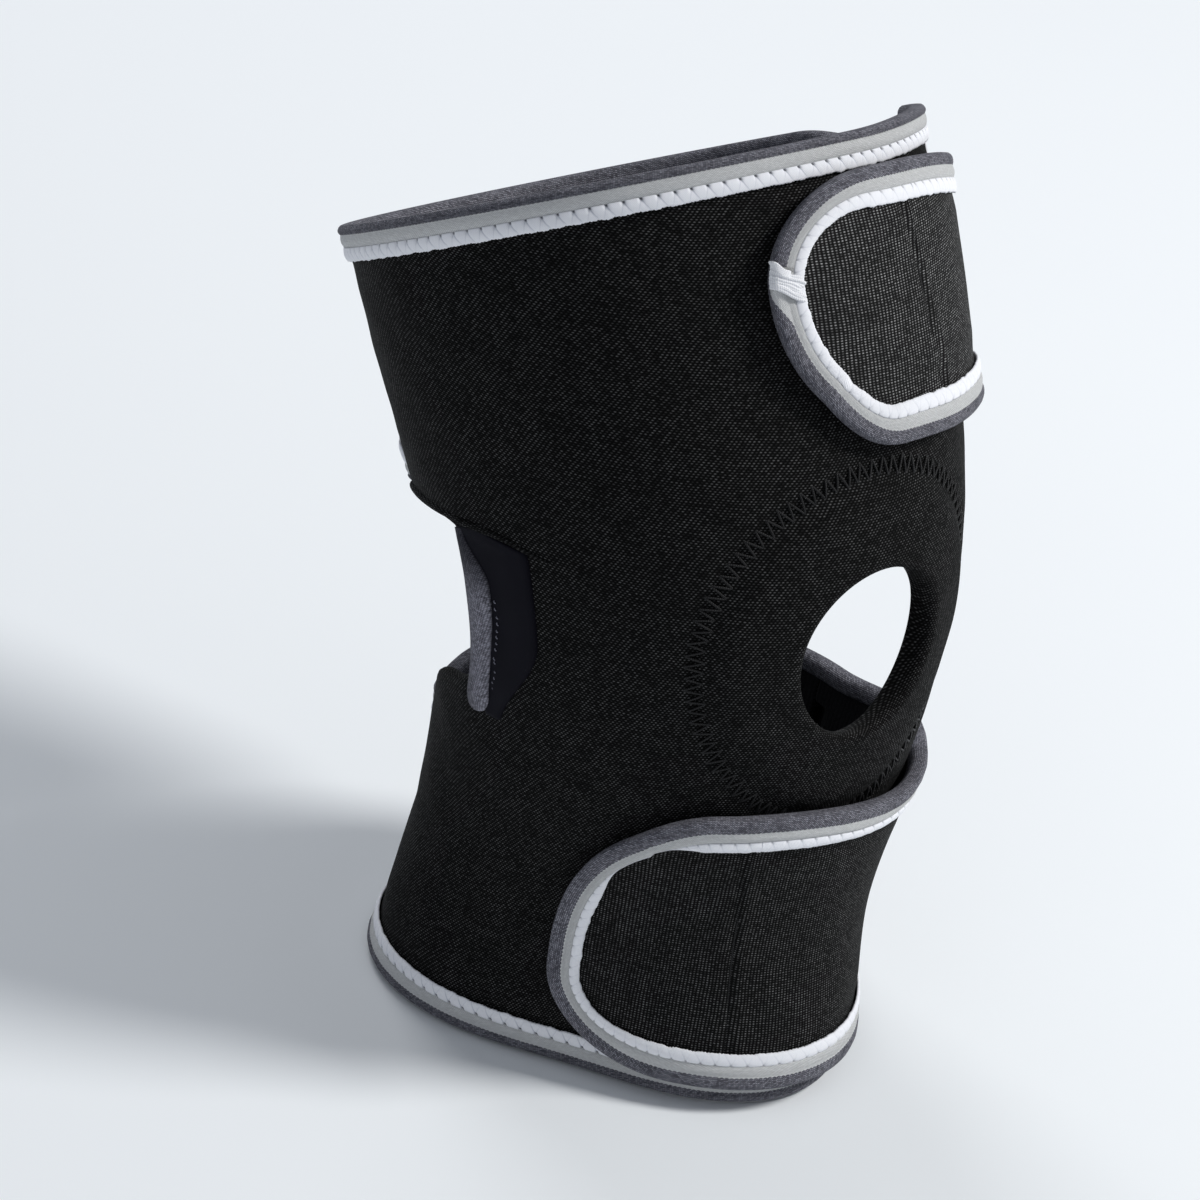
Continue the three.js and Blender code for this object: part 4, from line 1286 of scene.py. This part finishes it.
def make_tongue():
    """Rolled strip over the near edge of the opening, turned round the edge to the inside."""
    section_shape = [
        (0.0, 0.35), (0.04, 1.1), (0.16, 1.9), (0.34, 2.35), (0.55, 2.3), (0.74, 1.8), (0.9, 0.8),
        (1.0, -0.6), (1.0, -2.2), (0.93, -3.5), (0.78, -4.3), (0.6, -4.5), (0.5, -4.1), (0.6, -3.8),
        (0.8, -3.7), (0.88, -1.8), (0.82, 0.1), (0.6, 0.3),
    ]
    rows = 90
    s = np.linspace(TONGUE_FOOT, TONGUE_TOP, rows)[:, None]
    across, height = np.array(section_shape).T[:, None]
    foot = np.sqrt(1 - (1 - np.clip((s - TONGUE_FOOT + 0.25) / 6, 0, 1)) ** 2)
    head = 1 - 0.6 * smooth((s - 132) / 18)
    right, left = tongue_right(s), tongue_left(s)
    middle = (right + left) / 2
    phi = mix(middle, mix(right, left, across), foot)
    level = panel_relief(right - 6, s)
    crown = np.where(height > 0.5, 0.5 + (height - 0.5) * foot * head, height)
    folds = 0.16 * waves(phi / 3, s / 2.4, 14) * (height > 1)
    cloth = Cloth()
    cloth.hose(cloth.add(on_form(phi, s, crown + folds + 0.3 * level), cloth_uv(phi, s)))
    return finish_piece(
        cloth, "opening_rolled_strip", [ROLLED], "binding", bend_with_knee, "opening_binding"
    )


def make_facing():
    """Smooth cloth between the rolled strip and the panel's knit, tucked under the thigh wing."""
    s = np.linspace(TONGUE_FOOT + 0.6, TONGUE_TOP + 0.5, 60)[:, None]
    t = np.linspace(0, 1, 16)[None]
    start = tongue_right(s) + 1.2
    border = np.minimum(facing_border(s), start - 0.8)
    phi = mix(border, start, t)
    to_border = (phi - border) * 1.2
    rise = 0.62 * smooth(to_border / 0.9) - 0.35 * smooth((to_border - 5) / 7)
    over = panel_relief(phi, s) + 0.12 + rise
    cloth = closed_sheet(0.3, phi, s + 0 * t, over, panel_relief(phi, s) + 0.02)
    return finish_piece(
        cloth, "opening_smooth_facing", [FACING, FACING], "facing", bend_with_knee, "opening_facing"
    )


def make_opening_stitches():
    """Small pale stitches beside the rolled strip."""
    cloth = Cloth()
    rng = np.random.default_rng(7)
    for s in np.arange(105, 132, 1.9) + rng.uniform(-0.5, 0.5, 15):
        phi = float(tongue_right(s)) - 1.5 + rng.uniform(-0.3, 0.3)
        n = float(panel_relief(phi, s)) + 0.5
        reach = rng.uniform(0.35, 0.8)
        lay_stitch(cloth, (phi, s, n), (phi + 0.3, s + reach, n), 0.16, 0.1)
    return finish_piece(
        cloth, "opening_seam_stitches", [PALE_THREAD], "stitching", bend_with_knee, "opening_seam"
    )


def make_opening_beads():
    """Thin pale cord down the rolled strip's free edge, and the turned edge of the wing above it."""
    s = np.linspace(TONGUE_FOOT + 2, TONGUE_TOP + 1.5, 60)
    cord = Cloth()
    tube(cord, on_form(tongue_left(s) + 0.4, s, -0.7 + 0 * s), 0.45, sides=8)
    cord = finish_piece(cord, "opening_cord", [PALE_THREAD], "piping", bend_with_knee)
    outline = rounded([
        (THIGH_WING_FROM, THIGH_LOW - 0.3), (110, 157), (96, 153.2), (83, 149.2), (76, 145.2), (71, 143),
    ])
    _, phi, s = resampled(*outline.T)
    t = np.linspace(0, 1, len(phi))
    size = 1.35 * np.sqrt(np.clip(1 - t, 0, 1)) + 0.1
    fold = Cloth()
    level = np.where(phi > OPENING_EDGE, -0.5, 0.1)
    tube(fold, on_form(phi, s, panel_relief(phi, s) + level), size, sides=12)
    flat = cloth_uv(phi, s)
    fold.uvs[0] = (flat[:, None] + np.linspace(0, 6, 12)[None, :, None]).reshape(-1, 2)
    return [cord, finish_piece(fold, "wing_turned_edge", [BODY_KNIT], "panel", bend_with_knee)]


# ---------------------------------------------------------------- stage, light and camera


def make_floor():
    bpy.ops.mesh.primitive_plane_add(size=12, location=(0, 0, -0.001))
    floor = bpy.context.object
    floor.name = "floor"
    floor.data.materials.append(floor_paint())


def add_light(name, location, aim, size, watts, colour):
    light = bpy.data.lights.new(name, "AREA")
    light.shape, light.size, light.energy, light.color = "DISK", size, watts, colour
    obj = bpy.data.objects.new(name, light)
    bpy.context.scene.collection.objects.link(obj)
    obj.location = location
    obj.rotation_mode = "QUATERNION"
    obj.rotation_quaternion = (Vector(aim) - Vector(location)).to_track_quat("-Z", "Y")


def add_lights():
    """A pale room with three lamps, shown in its own colours with no film curve."""
    world = bpy.data.worlds.new("pale_room")
    world.use_nodes = True
    background = world.node_tree.nodes["Background"]
    background.inputs["Color"].default_value = (0.86, 0.91, 1.0, 1)
    background.inputs["Strength"].default_value = 0.3
    bpy.context.scene.world = world
    bpy.context.scene.view_settings.view_transform = "Standard"
    middle = (0, 0, 0.13)
    add_light("key", (1.15, -1.1, 1.7), middle, 0.6, 37, (1, 0.99, 0.97))
    add_light("fill", (-1.6, -0.7, 0.9), middle, 1.4, 2, (0.92, 0.95, 1))
    add_light("back", (0.5, 1.6, 1.5), middle, 1.0, 13, (1, 1, 1))


def add_camera():
    camera = bpy.data.objects.new("camera", bpy.data.cameras.new("camera"))
    bpy.context.scene.collection.objects.link(camera)
    position = Vector((-969.85, -930.15, 811.4)) * MM
    aim = Vector((-18.35, -5.25, 112.3)) * MM
    turn = (aim - position).to_track_quat("-Z", "Y").to_matrix().to_4x4()
    camera.matrix_world = Matrix.Translation(position) @ turn @ Matrix.Rotation(math.radians(10.1), 4, "Z")
    camera.data.lens = 168.5
    camera.data.sensor_width = 36
    camera.data.clip_start = 0.05
    camera.data.clip_end = 50
    bpy.context.scene.camera = camera


# ---------------------------------------------------------------- the brace

add_camera()
add_lights()
make_floor()

panel = make_panel()
panel_trims = make_panel_trims()
zigzag = make_patella_stitching()
make_patella_pad()
tongue = make_tongue()
facing = make_facing()
seam_stitches = make_opening_stitches()
beads = make_opening_beads()
for name, strap, bands, wing_body, period in (
    ("upper", UPPER, UPPER_BANDS, "thigh", 4.3), ("lower", LOWER, LOWER_BANDS, "calf", 3.6),
):
    strap.knit = UPPER_KNIT if name == "upper" else LOWER_KNIT
    sheet, trims = make_strap(f"{name}_strap", strap, bands, wing_body)
    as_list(trims)
    joined = name == "upper"
    sheet, trims = make_tab(f"{name}_tab", strap, bands, f"{name}_strap", period, joined)
    if joined:
        trims.append(make_trim_join(strap, bands, "upper_tab"))
    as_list(trims)
    make_hook_patch(f"{name}_tab_hook_patch", strap, f"{name}_tab")
